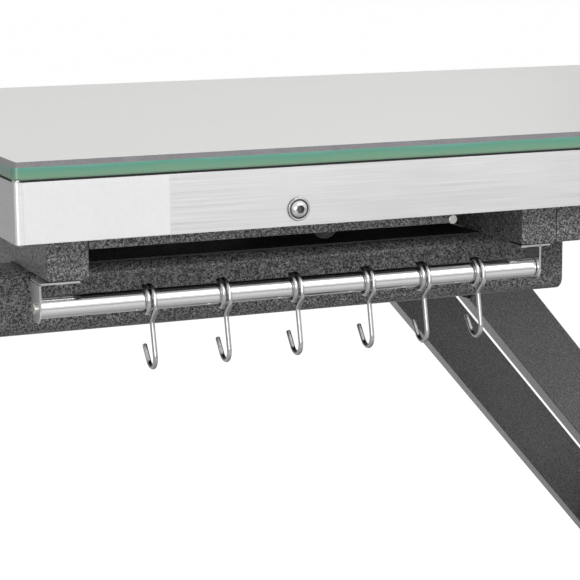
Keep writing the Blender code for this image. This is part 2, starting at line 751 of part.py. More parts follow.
# Scissor arms

def arm_frame(low_end, high_end, y):
    """A matrix with +X along the arm and its origin at the arm's middle."""
    low = Vector((low_end[0], y, low_end[1]))
    high = Vector((high_end[0], y, high_end[1]))
    along = (high - low).normalized()
    turned = Matrix((along, Y_AXIS, along.cross(Y_AXIS))).transposed().to_4x4()
    return Matrix.Translation((low + high) / 2) @ turned


def lug_outline(end_x, direction):
    """An end lug: it fills the tube's depth, then narrows round the pin."""
    inside = ARM_DEPTH / 2 - ARM_WALL + LUG_BITE
    mouth = end_x - direction * ARM_TUBE_FROM_PIN
    root = mouth - direction * LUG_IN_TUBE
    wrap = LUG_WRAP_ANGLE
    nose = [(end_x + direction * x, z) for x, z in arc((0, 0), LUG_RADIUS, -wrap, wrap, ROUND_STEPS // 2)]
    return [(mouth, inside), (root, inside), (root, -inside), (mouth, -inside), *nose]


def make_arm(name, place, centre_hole, parent):
    half_tube = ARM_LENGTH / 2 - ARM_TUBE_FROM_PIN
    half_width_of_arm = ARM_WIDTH / 2
    pins = (-ARM_LENGTH / 2, 0, ARM_LENGTH / 2)

    def transformed(bm):
        bmesh.ops.transform(bm, matrix=place, verts=bm.verts)
        return bm

    bm = bmesh.new()
    ends = [Vector((-half_tube, 0, 0)), Vector((half_tube, 0, 0))]
    loft(bm, bar_loops(*ends, half_width_of_arm, ARM_DEPTH / 2, ARM_EDGE_RADIUS))
    arm = make_object(transformed(bm), name, "powder_coat", parent, smooth=True)

    bm = bmesh.new()
    reach = half_tube + CUT_OVERRUN
    add_box(bm, (-reach, ARM_WALL - half_width_of_arm, ARM_WALL - ARM_DEPTH / 2),
            (reach, half_width_of_arm - ARM_WALL, ARM_DEPTH / 2 - ARM_WALL))
    combine(arm, helper_object(transformed(bm), name + "_hollow", parent), "DIFFERENCE")

    bm = bmesh.new()
    for direction in (-1, 1):
        outline = lug_outline(direction * ARM_LENGTH / 2, direction)
        loops = [[Vector((x, y, z)) for x, z in outline] for y in (-LUG_THICKNESS / 2, LUG_THICKNESS / 2)]
        loft(bm, loops)
    combine(arm, helper_object(transformed(bm), name + "_lugs", parent), "UNION")

    bm = bmesh.new()
    for x, radius in zip(pins, (END_BOSS_RADIUS, CENTRE_BOSS_RADIUS, END_BOSS_RADIUS)):
        add_cylinder(bm, (x, -half_width_of_arm, 0), Y_AXIS, radius, ARM_WIDTH)
    combine(arm, helper_object(transformed(bm), name + "_bosses", parent), "UNION")

    bm = bmesh.new()
    end_hole = PIN_RADIUS + RUNNING_GAP
    for x, radius in zip(pins, (end_hole, centre_hole, end_hole)):
        start = (x, -half_width_of_arm - CUT_OVERRUN, 0)
        add_cylinder(bm, start, Y_AXIS, radius, ARM_WIDTH + 2 * CUT_OVERRUN)
    combine(arm, helper_object(transformed(bm), name + "_holes", parent), "DIFFERENCE")


def make_arm_cross_tube(name, place, along, inner_face, parent):
    """An open square tube welded between the two arms of a pair."""
    bm = bmesh.new()
    half = CROSS_TUBE_SIZE / 2
    reach = inner_face - SEAT_GAP
    outer = ring_outline(half, half, TUBE_EDGE_RADIUS)
    bore = ring_outline(half - CROSS_TUBE_WALL, half - CROSS_TUBE_WALL, TUBE_EDGE_RADIUS - CROSS_TUBE_WALL)
    add_ring(bm, (along, -reach, 0), Y_AXIS, outer, bore, 2 * reach)
    bmesh.ops.transform(bm, matrix=place, verts=bm.verts)
    make_object(bm, name, "powder_coat", parent, smooth=True)


def add_stepped(bm, start, direction, steps):
    """A rod whose outline changes: steps are (outline, distance along)."""
    direction = Vector(direction)
    loft(bm, [loop_points(outline, Vector(start) + along * direction, direction) for outline, along in steps])


def make_bolt(name, start, direction, radius, length, parent):
    """A hexagon bolt seated at start, with its nut run up at length."""
    head = hexagon_outline(NUT_ACROSS_FLATS, SMALL_STEPS)
    shank = circle_outline(radius, SMALL_STEPS)
    nut_end = length + NUT_THICKNESS
    bm = bmesh.new()
    add_stepped(bm, start, direction,
                [(head, -NUT_THICKNESS), (head, 0), (shank, 0), (shank, length), (head, length), (head, nut_end),
                 (shank, nut_end), (shank, nut_end + BOLT_TIP_PAST_NUT)])
    make_object(bm, name, "zinc", parent, smooth=True)


def make_pivot_bolts(name, axis_z, middle_y, parent):
    """A bolt through each clevis, heads towards the middle of the table."""
    face = ARM_WIDTH / 2 + 2 * SEAT_GAP + EAR_THICKNESS
    for side, word in SIDES:
        start = (pivot_x, side * (middle_y - face), axis_z)
        make_bolt(f"{name}_{word}", start, side * Y_AXIS, PIN_RADIUS, 2 * face, parent)


def make_roller_shaft(name, x, z, parent):
    """A cross shaft with a collar inside and a clip outside each roller."""
    seat = roller_outer_y - ROLLER_WIDTH - SEAT_GAP
    clip = roller_outer_y + SEAT_GAP
    half_steps = [(PIN_RADIUS, seat - COLLAR_THICKNESS), (COLLAR_RADIUS, seat - COLLAR_THICKNESS),
                  (COLLAR_RADIUS, seat), (PIN_RADIUS, seat), (PIN_RADIUS, clip), (CLIP_RADIUS, clip),
                  (CLIP_RADIUS, clip + CLIP_THICKNESS), (PIN_RADIUS, clip + CLIP_THICKNESS),
                  (PIN_RADIUS, shaft_end_y)]
    steps = [(radius, -along) for radius, along in reversed(half_steps)] + half_steps
    bm = bmesh.new()
    add_stepped(bm, (x, 0, z), Y_AXIS, [(circle_outline(radius, SMALL_STEPS), along) for radius, along in steps])
    make_object(bm, name, "steel", parent, smooth=True)


def make_roller(name, x, z, side, parent):
    """A nylon wheel with a raised hub, on a line along Y."""
    middle = Vector((x, side * (roller_outer_y - ROLLER_WIDTH / 2), z))
    half = ROLLER_WIDTH / 2
    bore = PIN_RADIUS + RUNNING_GAP
    rim = roller_radius - ROLLER_CHAMFER
    face = half - ROLLER_HUB_RISE
    half_section = [(bore, half), (ROLLER_HUB_RADIUS, half), (rim, face), (roller_radius, face - ROLLER_CHAMFER)]
    section = half_section + [(radius, -along) for radius, along in reversed(half_section)]
    bm = bmesh.new()
    loops = [loop_points(circle_outline(radius), middle + along * Y_AXIS, Y_AXIS) for radius, along in section]
    loft(bm, loops, closed=True)
    axle = empty_at(name + "_axis", middle, parent)
    make_object(bm, name, "nylon", axle, smooth=True)


# Welded clevises

def add_ear(bm, centre, radius, base_z, y, thickness):
    """A plate with a round end about centre and its foot at base_z."""
    x, z = centre
    upward = 1 if base_z < z else -1
    nose = arc((0, 0), radius, 0, pi, ROUND_STEPS // 2)
    outline = [(x + u, z + upward * v) for u, v in nose]
    outline += [(x - radius, base_z), (x + radius, base_z)]
    loft(bm, [[Vector((u, level, v)) for u, v in outline] for level in (y, y + thickness)])


def weld_clevises(tube, clevises, parent):
    """Weld plates with ears to a tube: (x, axis z, face z, middle y, grip, radius, hole)."""
    plates, ears, holes = bmesh.new(), bmesh.new(), bmesh.new()
    for x, axis_z, face_z, middle_y, grip, radius, hole in clevises:
        upward = 1 if face_z < axis_z else -1
        bite = face_z - upward * TUBE_WALL / 2
        far = face_z + upward * BRACKET_PLATE
        near_y = middle_y - grip / 2 - SEAT_GAP - EAR_THICKNESS
        far_y = middle_y + grip / 2 + SEAT_GAP
        add_box(plates, (x - radius - BRACKET_MARGIN, near_y, min(bite, far)),
                (x + radius + BRACKET_MARGIN, far_y + EAR_THICKNESS, max(bite, far)))
        for y in (near_y, far_y):
            add_ear(ears, (x, axis_z), radius, (bite + far) / 2, y, EAR_THICKNESS)
        reach = far_y + EAR_THICKNESS - near_y
        add_cylinder(holes, (x, near_y - CUT_OVERRUN, axis_z), Y_AXIS, hole, reach + 2 * CUT_OVERRUN)
    combine(tube, helper_object(plates, tube.name + "_plates", parent), "UNION")
    combine(tube, helper_object(ears, tube.name + "_ears", parent), "UNION")
    combine(tube, helper_object(holes, tube.name + "_pin_holes", parent), "DIFFERENCE")


def arm_clevises(axis_z, face_z, middle_y):
    hole = PIN_RADIUS + SEAT_GAP
    return [(pivot_x, axis_z, face_z, side * middle_y, ARM_WIDTH, EAR_RADIUS, hole) for side, _ in SIDES]


# Hook rail, brackets and hooks

def make_hook_rail(top):
    bm = bmesh.new()
    length = hook_rail_right - hook_rail_left
    bore = SMALL_SCREW_RADIUS + SEAT_GAP
    rim = HOOK_RAIL_RADIUS - HOOK_RAIL_CHAMFER
    profile = [(0, HOOK_RAIL_BORE_DEPTH), (bore, HOOK_RAIL_BORE_DEPTH), (bore, 0), (rim, 0),
               (HOOK_RAIL_RADIUS, HOOK_RAIL_CHAMFER), (HOOK_RAIL_RADIUS, length - HOOK_RAIL_CHAMFER),
               (rim, length), (bore, length), (bore, length - HOOK_RAIL_BORE_DEPTH),
               (0, length - HOOK_RAIL_BORE_DEPTH)]
    add_turned(bm, profile, (hook_rail_left, hook_axis_y, hook_axis_z), X_AXIS)
    make_object(bm, "hook_rail", "chrome", top, smooth=True)


def make_rail_bracket(name, flange_left, flange_length, tab_left, screw_x, outward, top):
    """A thin flange under a tube with a round-ended tab turned down."""
    half = BRACKET_WIDTH / 2
    high = tube_low - SEAT_GAP
    bm = bmesh.new()
    add_box(bm, (flange_left, hook_axis_y - half, high - BRACKET_SHEET),
            (flange_left + flange_length, hook_axis_y + half, high))
    bracket = make_object(bm, name, "stainless", top)
    tab = bmesh.new()
    low = hook_axis_z - TAB_BELOW_AXIS
    corner = TAB_BELOW_AXIS
    outline = arc((half - corner, low + corner), corner, 0, -pi / 2, CORNER_STEPS * 2)
    outline += arc((corner - half, low + corner), corner, -pi / 2, -pi, CORNER_STEPS * 2)
    outline += [(-half, high - BRACKET_SHEET / 2), (half, high - BRACKET_SHEET / 2)]
    loft(tab, [[Vector((x, hook_axis_y + y, z)) for y, z in outline] for x in (tab_left, tab_left + BRACKET_SHEET)])
    combine(bracket, helper_object(tab, name + "_tab", top), "UNION")
    screws = bmesh.new()
    add_small_screw(screws, (screw_x, hook_axis_y, high - BRACKET_SHEET), Z_AXIS)
    tab_face = tab_left if outward < 0 else tab_left + BRACKET_SHEET
    add_small_screw(screws, (tab_face, hook_axis_y, hook_axis_z), -outward * X_AXIS)
    combine(bracket, helper_object(screws, name + "_screws", top), "UNION")


def add_small_screw(bm, seat, direction):
    """A pan-head screw tight in a bracket, its shank running ahead of seat."""
    head = SMALL_SCREW_HEAD_HEIGHT
    bite = BRACKET_SHEET / 2
    profile = [(0, -head), (SMALL_SCREW_HEAD_RADIUS * cos(pi / 4), -head), (SMALL_SCREW_HEAD_RADIUS, -head / 2),
               (SMALL_SCREW_HEAD_RADIUS, bite), (SMALL_SCREW_RADIUS, bite),
               (SMALL_SCREW_RADIUS, SMALL_SCREW_LENGTH), (0, SMALL_SCREW_LENGTH)]
    add_turned(bm, profile, seat, direction, SMALL_STEPS)


def make_hook_hardware(top):
    make_hook_rail(top)
    left_screw_x = left_tab_x + LEFT_SCREW_IN_FLANGE
    right_flange_left = right_flange_end - RIGHT_FLANGE_LENGTH
    right_screw_x = right_flange_left + RIGHT_SCREW_IN_FLANGE
    make_rail_bracket("rail_bracket_left", left_tab_x, LEFT_FLANGE_LENGTH, left_tab_x, left_screw_x, -1, top)
    make_rail_bracket("rail_bracket_right", right_flange_left, RIGHT_FLANGE_LENGTH,
                      right_tab_x - BRACKET_SHEET, right_screw_x, 1, top)


def hook_path():
    """The bent wire's middle line about the rail: (x, y, z) at no lean."""
    loop_radius = HOOK_RAIL_RADIUS + HOOK_WIRE_RADIUS + SEAT_GAP
    points = []
    for step in range(HOOK_LOOP_STEPS + 1):
        angle = HOOK_TAIL_ANGLE + (pi - HOOK_TAIL_ANGLE) * step / HOOK_LOOP_STEPS
        x = HOOK_LOOP_PITCH * (angle - pi) / tau
        points.append(Vector((x, loop_radius * cos(angle), loop_radius * sin(angle))))
    points.append(Vector((0, -loop_radius, -HOOK_FRONT_DROP)))
    shank_y = HOOK_SHANK_BEHIND_AXIS
    for across, down in HOOK_KINK_SHARES:
        y = across * (loop_radius + shank_y) - loop_radius
        z = down * (HOOK_FRONT_DROP - HOOK_SHANK_TOP) - HOOK_FRONT_DROP
        points.append(Vector((0, y, z)))
    points.append(Vector((0, shank_y, -HOOK_SHANK_TOP)))
    bend = Vector((0, shank_y + HOOK_BEND_RADIUS, HOOK_BEND_RADIUS + HOOK_WIRE_RADIUS - HOOK_BOTTOM))
    for step in range(HOOK_BEND_STEPS + 1):
        angle = pi + HOOK_BEND_ANGLE * step / HOOK_BEND_STEPS
        points.append(bend + HOOK_BEND_RADIUS * Vector((0, cos(angle), sin(angle))))
    last = pi + HOOK_BEND_ANGLE
    points.append(points[-1] + HOOK_TIP_LENGTH * Vector((0, -sin(last), cos(last))))
    for point in points[HOOK_LOOP_STEPS + 1:]:
        point.x = (-point.z - HOOK_FRONT_DROP) * tan(HOOK_SIDE_LEAN)
    return points


def hanging_lean(points):
    """The angle that brings the wire's centre of mass under the rail."""
    weight = sum((far - near).length for near, far in zip(points, points[1:]))
    moment = sum(((far - near).length * (near + far) / 2 for near, far in zip(points, points[1:])), Vector())
    centre = moment / weight
    return atan2(-centre.y, -centre.z)


def make_hooks(top):
    path = hook_path()
    lean = Matrix.Rotation(hanging_lean(path), 3, "X")
    length = hook_rail_right - hook_rail_left
    for number, share in enumerate(HOOK_PLACE_SHARES, start=1):
        name = f"hook_{number}"
        curve = bpy.data.curves.new(name, "CURVE")
        curve.dimensions = "3D"
        curve.bevel_depth = HOOK_WIRE_RADIUS
        curve.bevel_resolution = 1
        curve.use_fill_caps = True
        spline = curve.splines.new("POLY")
        spline.points.add(len(path) - 1)
        for point, place in zip(spline.points, path):
            point.co = (*(lean @ place), 1)
        curve.materials.append(finish_material(name, *FINISHES["stainless"]))
        hook = bpy.data.objects.new(name, curve)
        bpy.context.scene.collection.objects.link(hook)
        hook.parent = top
        hook.location = Vector((hook_rail_left + share * length, hook_axis_y, hook_axis_z)) - world_place(top)


# Base

def make_base_tubes(base):
    """Three floor tubes that carry the rails, the brackets and the feet."""
    low = FOOT_HEIGHT + SEAT_GAP
    middle_z = low + BASE_TUBE_HEIGHT / 2
    left_x = rail_left + BASE_LEFT_TUBE_FROM_RAIL_END + BASE_TUBE_WIDTH / 2
    tubes = {}
    for word, x, reach in (("left", left_x, BASE_TUBE_HALF_SPAN), ("middle", BASE_MIDDLE_TUBE_PLACE, rail_face_y),
                           ("right", pivot_x, BASE_TUBE_HALF_SPAN)):
        hole = ((x, reach - 2 * VENT_FROM_END, low), VENT_RADIUS)
        tubes[word] = make_tube("base_tube_" + word, (x, -reach, middle_z), (x, reach, middle_z),
                                BASE_TUBE_WIDTH, BASE_TUBE_HEIGHT, base, [hole])
    clevises = arm_clevises(low_axis_z, base_tube_top, a_middle)
    clevises.append((tail_pin_x, low_axis_z, base_tube_top, 0, TAIL_LUG_THICKNESS, TAIL_EAR_RADIUS,
                     TAIL_PIN_RADIUS + SEAT_GAP))
    weld_clevises(tubes["right"], clevises, base)
    weld_saddle(tubes["middle"], base)

    foot_y = BASE_TUBE_HALF_SPAN - FOOT_FROM_TUBE_END
    edge = FOOT_HEIGHT / 6
    profile = [(0, 0), (FOOT_RADIUS - edge, 0), (FOOT_RADIUS, edge), (FOOT_TOP_RADIUS, FOOT_HEIGHT),
               (0, FOOT_HEIGHT)]
    for end, x in (("left", left_x), ("right", pivot_x)):
        for side, word in SIDES:
            bm = bmesh.new()
            add_turned(bm, profile, (x, side * foot_y, 0), Z_AXIS)
            make_object(bm, f"foot_{word}_{end}", "rubber", base, smooth=True)


def weld_saddle(tube, base):
    """A stand on the middle tube with a bore that holds the actuator."""
    bm = bmesh.new()
    half = SADDLE_LENGTH / 2
    middle = BASE_MIDDLE_TUBE_PLACE
    top_z = low_axis_z + ACTUATOR_RADIUS + SADDLE_WALL
    add_box(bm, (middle - half, -SADDLE_HALF_WIDTH, base_tube_top - TUBE_WALL / 2),
            (middle + half, SADDLE_HALF_WIDTH, top_z))
    combine(tube, helper_object(bm, "saddle", base), "UNION")
    hole = bmesh.new()
    add_cylinder(hole, (middle - half - CUT_OVERRUN, 0, low_axis_z), X_AXIS, ACTUATOR_RADIUS + SEAT_GAP,
                 SADDLE_LENGTH + 2 * CUT_OVERRUN)
    combine(tube, helper_object(hole, "saddle_bore", base), "DIFFERENCE")


def make_actuator(base):
    axis = low_axis_z
    bore = ROD_RADIUS + ACTUATOR_BORE_GAP
    gland_end = ACTUATOR_GLAND_LENGTH
    bore_end = rod_end_x - rod_mouth_x + ACTUATOR_BORE_SPARE
    length = gearbox_left - SEAT_GAP - rod_mouth_x
    profile = [(0, bore_end), (bore, bore_end), (bore, 0), (ACTUATOR_GLAND_RADIUS, 0),
               (ACTUATOR_GLAND_RADIUS, gland_end), (ACTUATOR_RADIUS, gland_end), (ACTUATOR_RADIUS, length),
               (0, length)]
    bm = bmesh.new()
    add_turned(bm, profile, (rod_mouth_x, 0, axis), X_AXIS)
    make_object(bm, "actuator_tube", "steel", base, smooth=True)

    bm = bmesh.new()
    add_rounded_box(bm, (gearbox_left, -GEARBOX_HALF_WIDTH, axis - GEARBOX_HALF_HEIGHT),
                    (gearbox_right, MOTOR_OFFSET + MOTOR_RADIUS, axis + GEARBOX_HALF_HEIGHT), GEARBOX_EDGE_RADIUS)
    gearbox = make_object(bm, "actuator_gearbox", "plastic", base, smooth=True)
    tail = bmesh.new()
    reach = tail_pin_x - gearbox_right + GEARBOX_LENGTH / 2
    nose = arc((tail_pin_x, axis), TAIL_LUG_RADIUS, -pi / 2, pi / 2, ROUND_STEPS // 2)
    outline = [*nose, (tail_pin_x - reach, axis + TAIL_LUG_RADIUS), (tail_pin_x - reach, axis - TAIL_LUG_RADIUS)]
    loft(tail, [[Vector((x, y, z)) for x, z in outline] for y in (-TAIL_LUG_THICKNESS / 2, TAIL_LUG_THICKNESS / 2)])
    combine(gearbox, helper_object(tail, "actuator_tail", base), "UNION")
    hole = bmesh.new()
    add_cylinder(hole, (tail_pin_x, -TAIL_LUG_THICKNESS / 2 - CUT_OVERRUN, axis), Y_AXIS,
                 TAIL_PIN_RADIUS + SEAT_GAP, TAIL_LUG_THICKNESS + 2 * CUT_OVERRUN)
    combine(gearbox, helper_object(hole, "actuator_tail_hole", base), "DIFFERENCE")

    bm = bmesh.new()
    cap = MOTOR_RADIUS - MOTOR_CAP_CHAMFER
    profile = [(0, 0), (cap, 0), (MOTOR_RADIUS, MOTOR_CAP_CHAMFER), (MOTOR_RADIUS, MOTOR_LENGTH), (0, MOTOR_LENGTH)]
    add_turned(bm, profile, (gearbox_left - SEAT_GAP - MOTOR_LENGTH, MOTOR_OFFSET, axis), X_AXIS)
    make_object(bm, "actuator_motor", "plastic", base, smooth=True)


def make_base_bolts(base):
    make_pivot_bolts("base_pivot_bolt", low_axis_z, a_middle, base)
    face = TAIL_LUG_THICKNESS / 2 + 2 * SEAT_GAP + EAR_THICKNESS
    make_bolt("actuator_tail_bolt", (tail_pin_x, -face, low_axis_z), Y_AXIS, TAIL_PIN_RADIUS, 2 * face, base)


def make_pull_rod(rod):
    """The actuator's rod, with an eye round the lower roller shaft."""
    bm = bmesh.new()
    add_cylinder(bm, (roller_x, 0, low_axis_z), X_AXIS, ROD_RADIUS, rod_length)
    made = make_object(bm, "pull_rod", "chrome", rod, smooth=True)
    eye = bmesh.new()
    add_cylinder(eye, (roller_x, -ROD_EYE_WIDTH / 2, low_axis_z), Y_AXIS, ROD_EYE_RADIUS, ROD_EYE_WIDTH)
    combine(made, helper_object(eye, "pull_rod_eye", rod), "UNION")
    hole = bmesh.new()
    add_cylinder(hole, (roller_x, -ROD_EYE_WIDTH / 2 - CUT_OVERRUN, low_axis_z), Y_AXIS,
                 PIN_RADIUS + RUNNING_GAP, ROD_EYE_WIDTH + 2 * CUT_OVERRUN)
    combine(made, helper_object(hole, "pull_rod_hole", rod), "DIFFERENCE")


def make_control_box(base):
    back = rail_face_y + SEAT_GAP
    left = BOX_PLACE - BOX_LENGTH / 2
    right = BOX_PLACE + BOX_LENGTH / 2
    bm = bmesh.new()
    add_rounded_box(bm, (left, back, BOX_LOW), (right, back + BOX_DEPTH, BOX_LOW + BOX_HEIGHT), BOX_EDGE_RADIUS)
    make_object(bm, "control_box", "plastic", base, smooth=True)

    middle = Vector((right + SEAT_GAP, back + BOX_DEPTH / 2, BOX_LOW + BOX_HEIGHT / 2))
    outline = ring_outline(INLET_WIDTH / 2, INLET_HEIGHT / 2, INLET_CORNER_RADIUS)
    inner_radius = INLET_CORNER_RADIUS - INLET_WALL
    recess = ring_outline(INLET_WIDTH / 2 - INLET_WALL, INLET_HEIGHT / 2 - INLET_WALL, inner_radius)
    front = middle + INLET_DEPTH * X_AXIS
    floor = middle + INLET_FLOOR * X_AXIS
    bm = bmesh.new()
    loft(bm, [loop_points(outline, middle, X_AXIS), loop_points(outline, front, X_AXIS),
              loop_points(recess, front, X_AXIS), loop_points(recess, floor, X_AXIS)])
    inlet = make_object(bm, "mains_inlet", "plastic", base)
    blades = bmesh.new()
    root = middle.x + INLET_FLOOR / 2
    for place, rise in ((-1, 0), (0, INLET_EARTH_RISE), (1, 0)):
        y = middle.y + place * INLET_BLADE_SPACING
        z = middle.z - INLET_EARTH_RISE / 2 + rise
        add_box(blades, (root, y - INLET_BLADE_THICKNESS / 2, z - INLET_BLADE_WIDTH / 2),
                (floor.x + INLET_BLADE_LENGTH, y + INLET_BLADE_THICKNESS / 2, z + INLET_BLADE_WIDTH / 2))
    combine(inlet, helper_object(blades, "mains_inlet_blades", base), "UNION")


def make_pedal(base, pedal):
    """A low housing on the front rail, and the rocker that runs the motor."""
    back = -rail_face_y - SEAT_GAP
    front = back - PEDAL_HOUSING_DEPTH
    half = PEDAL_HOUSING_LENGTH / 2
    cut = PEDAL_HOUSING_CHAMFER
    section = [(back, PEDAL_HOUSING_LOW), (back, PEDAL_HOUSING_HIGH), (front + cut, PEDAL_HOUSING_HIGH),
               (front, PEDAL_HOUSING_HIGH - cut), (front, PEDAL_HOUSING_LOW)]
    bm = bmesh.new()
    loft(bm, [[Vector((x, y, z)) for y, z in section] for x in (-half, half)])
    edges = [edge for edge in bm.edges if abs(edge.verts[0].co.x - edge.verts[1].co.x) < SEAT_GAP]
    bmesh.ops.bevel(bm, geom=edges, offset=BOX_EDGE_RADIUS / 2, segments=2, profile=0.5, affect="EDGES")
    housing = make_object(bm, "pedal_housing", "plastic", base, smooth=True)

    middle_y = (back + front + cut) / 2
    pedal_edge = PEDAL_WIDTH / 2 + PEDAL_EAR_CLEARANCE
    axis = (0, PEDAL_AXIS_HEIGHT)
    root = PEDAL_HOUSING_HIGH - BOX_EDGE_RADIUS
    ears, holes = bmesh.new(), bmesh.new()
    for start in (middle_y - pedal_edge - PEDAL_EAR_THICKNESS, middle_y + pedal_edge):
        add_ear(ears, axis, PEDAL_EAR_RADIUS, root, start, PEDAL_EAR_THICKNESS)
        add_cylinder(holes, (0, start - CUT_OVERRUN, PEDAL_AXIS_HEIGHT), Y_AXIS, PEDAL_PIN_RADIUS + RUNNING_GAP,
                     PEDAL_EAR_THICKNESS + 2 * CUT_OVERRUN, SMALL_STEPS)
    combine(housing, helper_object(ears, "pedal_housing_ears", base), "UNION")
    combine(housing, helper_object(holes, "pedal_housing_holes", base), "DIFFERENCE")

    reach = PEDAL_LENGTH / 2
    rise = PEDAL_RISE
    hub = PEDAL_HUB_RADIUS
    low = PEDAL_AXIS_HEIGHT - PEDAL_THICKNESS / 2
    high = PEDAL_AXIS_HEIGHT + PEDAL_THICKNESS / 2
    outline = [(-reach, low + rise), (-hub, low), (hub, low), (reach, low + rise), (reach, high + rise),
               (hub, high), (-hub, high), (-reach, high + rise)]
    bm = bmesh.new()
    loft(bm, [[Vector((x, y, z)) for x, z in outline]
              for y in (middle_y - PEDAL_WIDTH / 2, middle_y + PEDAL_WIDTH / 2)])
    rocker = make_object(bm, "foot_pedal", "plastic", pedal, smooth=True)
    boss = bmesh.new()
    add_cylinder(boss, (0, middle_y - PEDAL_WIDTH / 2, PEDAL_AXIS_HEIGHT), Y_AXIS, hub, PEDAL_WIDTH)
    combine(rocker, helper_object(boss, "foot_pedal_hub", pedal), "UNION")
    pin = bmesh.new()
    pin_half = pedal_edge + PEDAL_PIN_REACH
    add_cylinder(pin, (0, middle_y - pin_half, PEDAL_AXIS_HEIGHT), Y_AXIS, PEDAL_PIN_RADIUS, 2 * pin_half, SMALL_STEPS)
    combine(rocker, helper_object(pin, "foot_pedal_pin", pedal), "UNION")
    treads = bmesh.new()
    slope = rise / (reach - hub)
    for direction in (-1, 1):
        for index in range(PEDAL_TREADS_A_SIDE):
            outer = reach - PEDAL_TREAD_PITCH * index - PEDAL_TREAD_WIDTH
            inner = outer - PEDAL_TREAD_WIDTH
            corners = [(outer, high + slope * (outer - hub)), (inner, high + slope * (inner - hub))]
            ribs = [(direction * x, z - PEDAL_TREAD_SINK) for x, z in corners]
            ribs += [(direction * x, z + PEDAL_TREAD_HEIGHT) for x, z in reversed(corners)]
            loft(treads, [[Vector((x, y, z)) for x, z in ribs]
                          for y in (middle_y - PEDAL_WIDTH / 2 + PEDAL_TREAD_WIDTH,
                                    middle_y + PEDAL_WIDTH / 2 - PEDAL_TREAD_WIDTH)])
    bmesh.ops.recalc_face_normals(treads, faces=treads.faces)
    combine(rocker, helper_object(treads, "foot_pedal_treads", pedal), "UNION")


# Assembly

def make_top(top):
    make_glass(top)
    make_gasket(top)
    make_frame(top)
    make_inside_of_frame(top)
    make_tubes_under_frame(top)
    make_rail_cover(top)
    make_edge_strips(top)
    for side, word in SIDES:
        make_rail("top_rail_" + word, side, rail_left, top_rail_right, high_axis_z, top)
    make_pivot_bolts("top_pivot_bolt", high_axis_z, b_middle, top)
    make_hook_hardware(top)
    make_hooks(top)


def make_inner_arms(arms):
    low, high = (pivot_x, low_axis_z), (roller_x, high_axis_z)
    for side, word in SIDES:
        place = arm_frame(low, high, side * a_middle)
        make_arm("arm_a_" + word, place, CENTRE_SHAFT_RADIUS + SEAT_GAP, arms)
    half = ARM_LENGTH / 2
    middle = arm_frame(low, high, 0)
    make_arm_cross_tube("arm_a_upper_tube", middle, half - A_UPPER_TUBE_FROM_ROLLER, a_inner, arms)
    make_arm_cross_tube("arm_a_lower_tube", middle, A_LOWER_TUBE_FROM_PIN - half, a_inner, arms)
    make_roller_shaft("top_roller_shaft", roller_x, high_axis_z, arms)

    shank = circle_outline(CENTRE_SHAFT_RADIUS, SMALL_STEPS)
    washer = circle_outline(CENTRE_BOSS_RADIUS, SMALL_STEPS)
    nut = hexagon_outline(NUT_ACROSS_FLATS, SMALL_STEPS)
    nut_start = b_outer + SEAT_GAP
    nut_end = nut_start + NUT_THICKNESS
    half_steps = [(shank, a_outer + SEAT_GAP), (washer, a_outer + SEAT_GAP), (washer, b_inner - SEAT_GAP),
                  (shank, b_inner - SEAT_GAP), (shank, nut_start), (nut, nut_start), (nut, nut_end),
                  (shank, nut_end), (shank, nut_end + BOLT_TIP_PAST_NUT)]
    steps = [(outline, -along) for outline, along in reversed(half_steps)] + half_steps
    bm = bmesh.new()
    add_stepped(bm, (centre_x, 0, centre_z), Y_AXIS, steps)
    make_object(bm, "centre_shaft", "steel", arms, smooth=True)


def make_outer_arms(arms):
    low, high = (roller_x, low_axis_z), (pivot_x, high_axis_z)
    for side, word in SIDES:
        place = arm_frame(low, high, side * b_middle)
        make_arm("arm_b_" + word, place, CENTRE_SHAFT_RADIUS + RUNNING_GAP, arms)
    half = ARM_LENGTH / 2
    middle = arm_frame(low, high, 0)
    make_arm_cross_tube("arm_b_lower_tube", middle, B_LOWER_TUBE_FROM_ROLLER - half, b_inner, arms)
    make_roller_shaft("bottom_roller_shaft", roller_x, low_axis_z, arms)


def make_base(base):
    for side, word in SIDES:
        make_rail("base_rail_" + word, side, rail_left, base_rail_right, low_axis_z, base)
    make_base_tubes(base)
    make_base_bolts(base)
    make_actuator(base)
    make_control_box(base)


def build():
    clear_scene()
    base = empty_at("base", (0, 0, 0))
    inner = empty_at("inner_arms_axis", (pivot_x, 0, low_axis_z), base)
    outer = empty_at("outer_arms_axis", (centre_x, 0, centre_z), inner)
    top = empty_at("top_axis", (pivot_x, 0, high_axis_z), outer)
    rod = empty_at("pull_rod_axis", (roller_x, 0, low_axis_z), outer)
    pedal = empty_at("pedal_axis", (0, 0, PEDAL_AXIS_HEIGHT), base)
    make_top(top)
    make_inner_arms(inner)
    make_outer_arms(outer)
    for side, word in SIDES:
        make_roller("top_roller_" + word, roller_x, high_axis_z, side, inner)
        make_roller("bottom_roller_" + word, roller_x, low_axis_z, side, outer)
    make_pull_rod(rod)
    make_base(base)
    make_pedal(base, pedal)


build()
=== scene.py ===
"""Looks of the pet grooming table: finer shapes, finishes, studio and camera.

Metres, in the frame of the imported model: +X along the front edge to the right,
+Y from the front edge to the back, +Z up, origin on the floor.
"""

from math import atan2, cos, pi, radians, sin, tan, tau

import bmesh
import bpy
from mathutils import Matrix, Vector


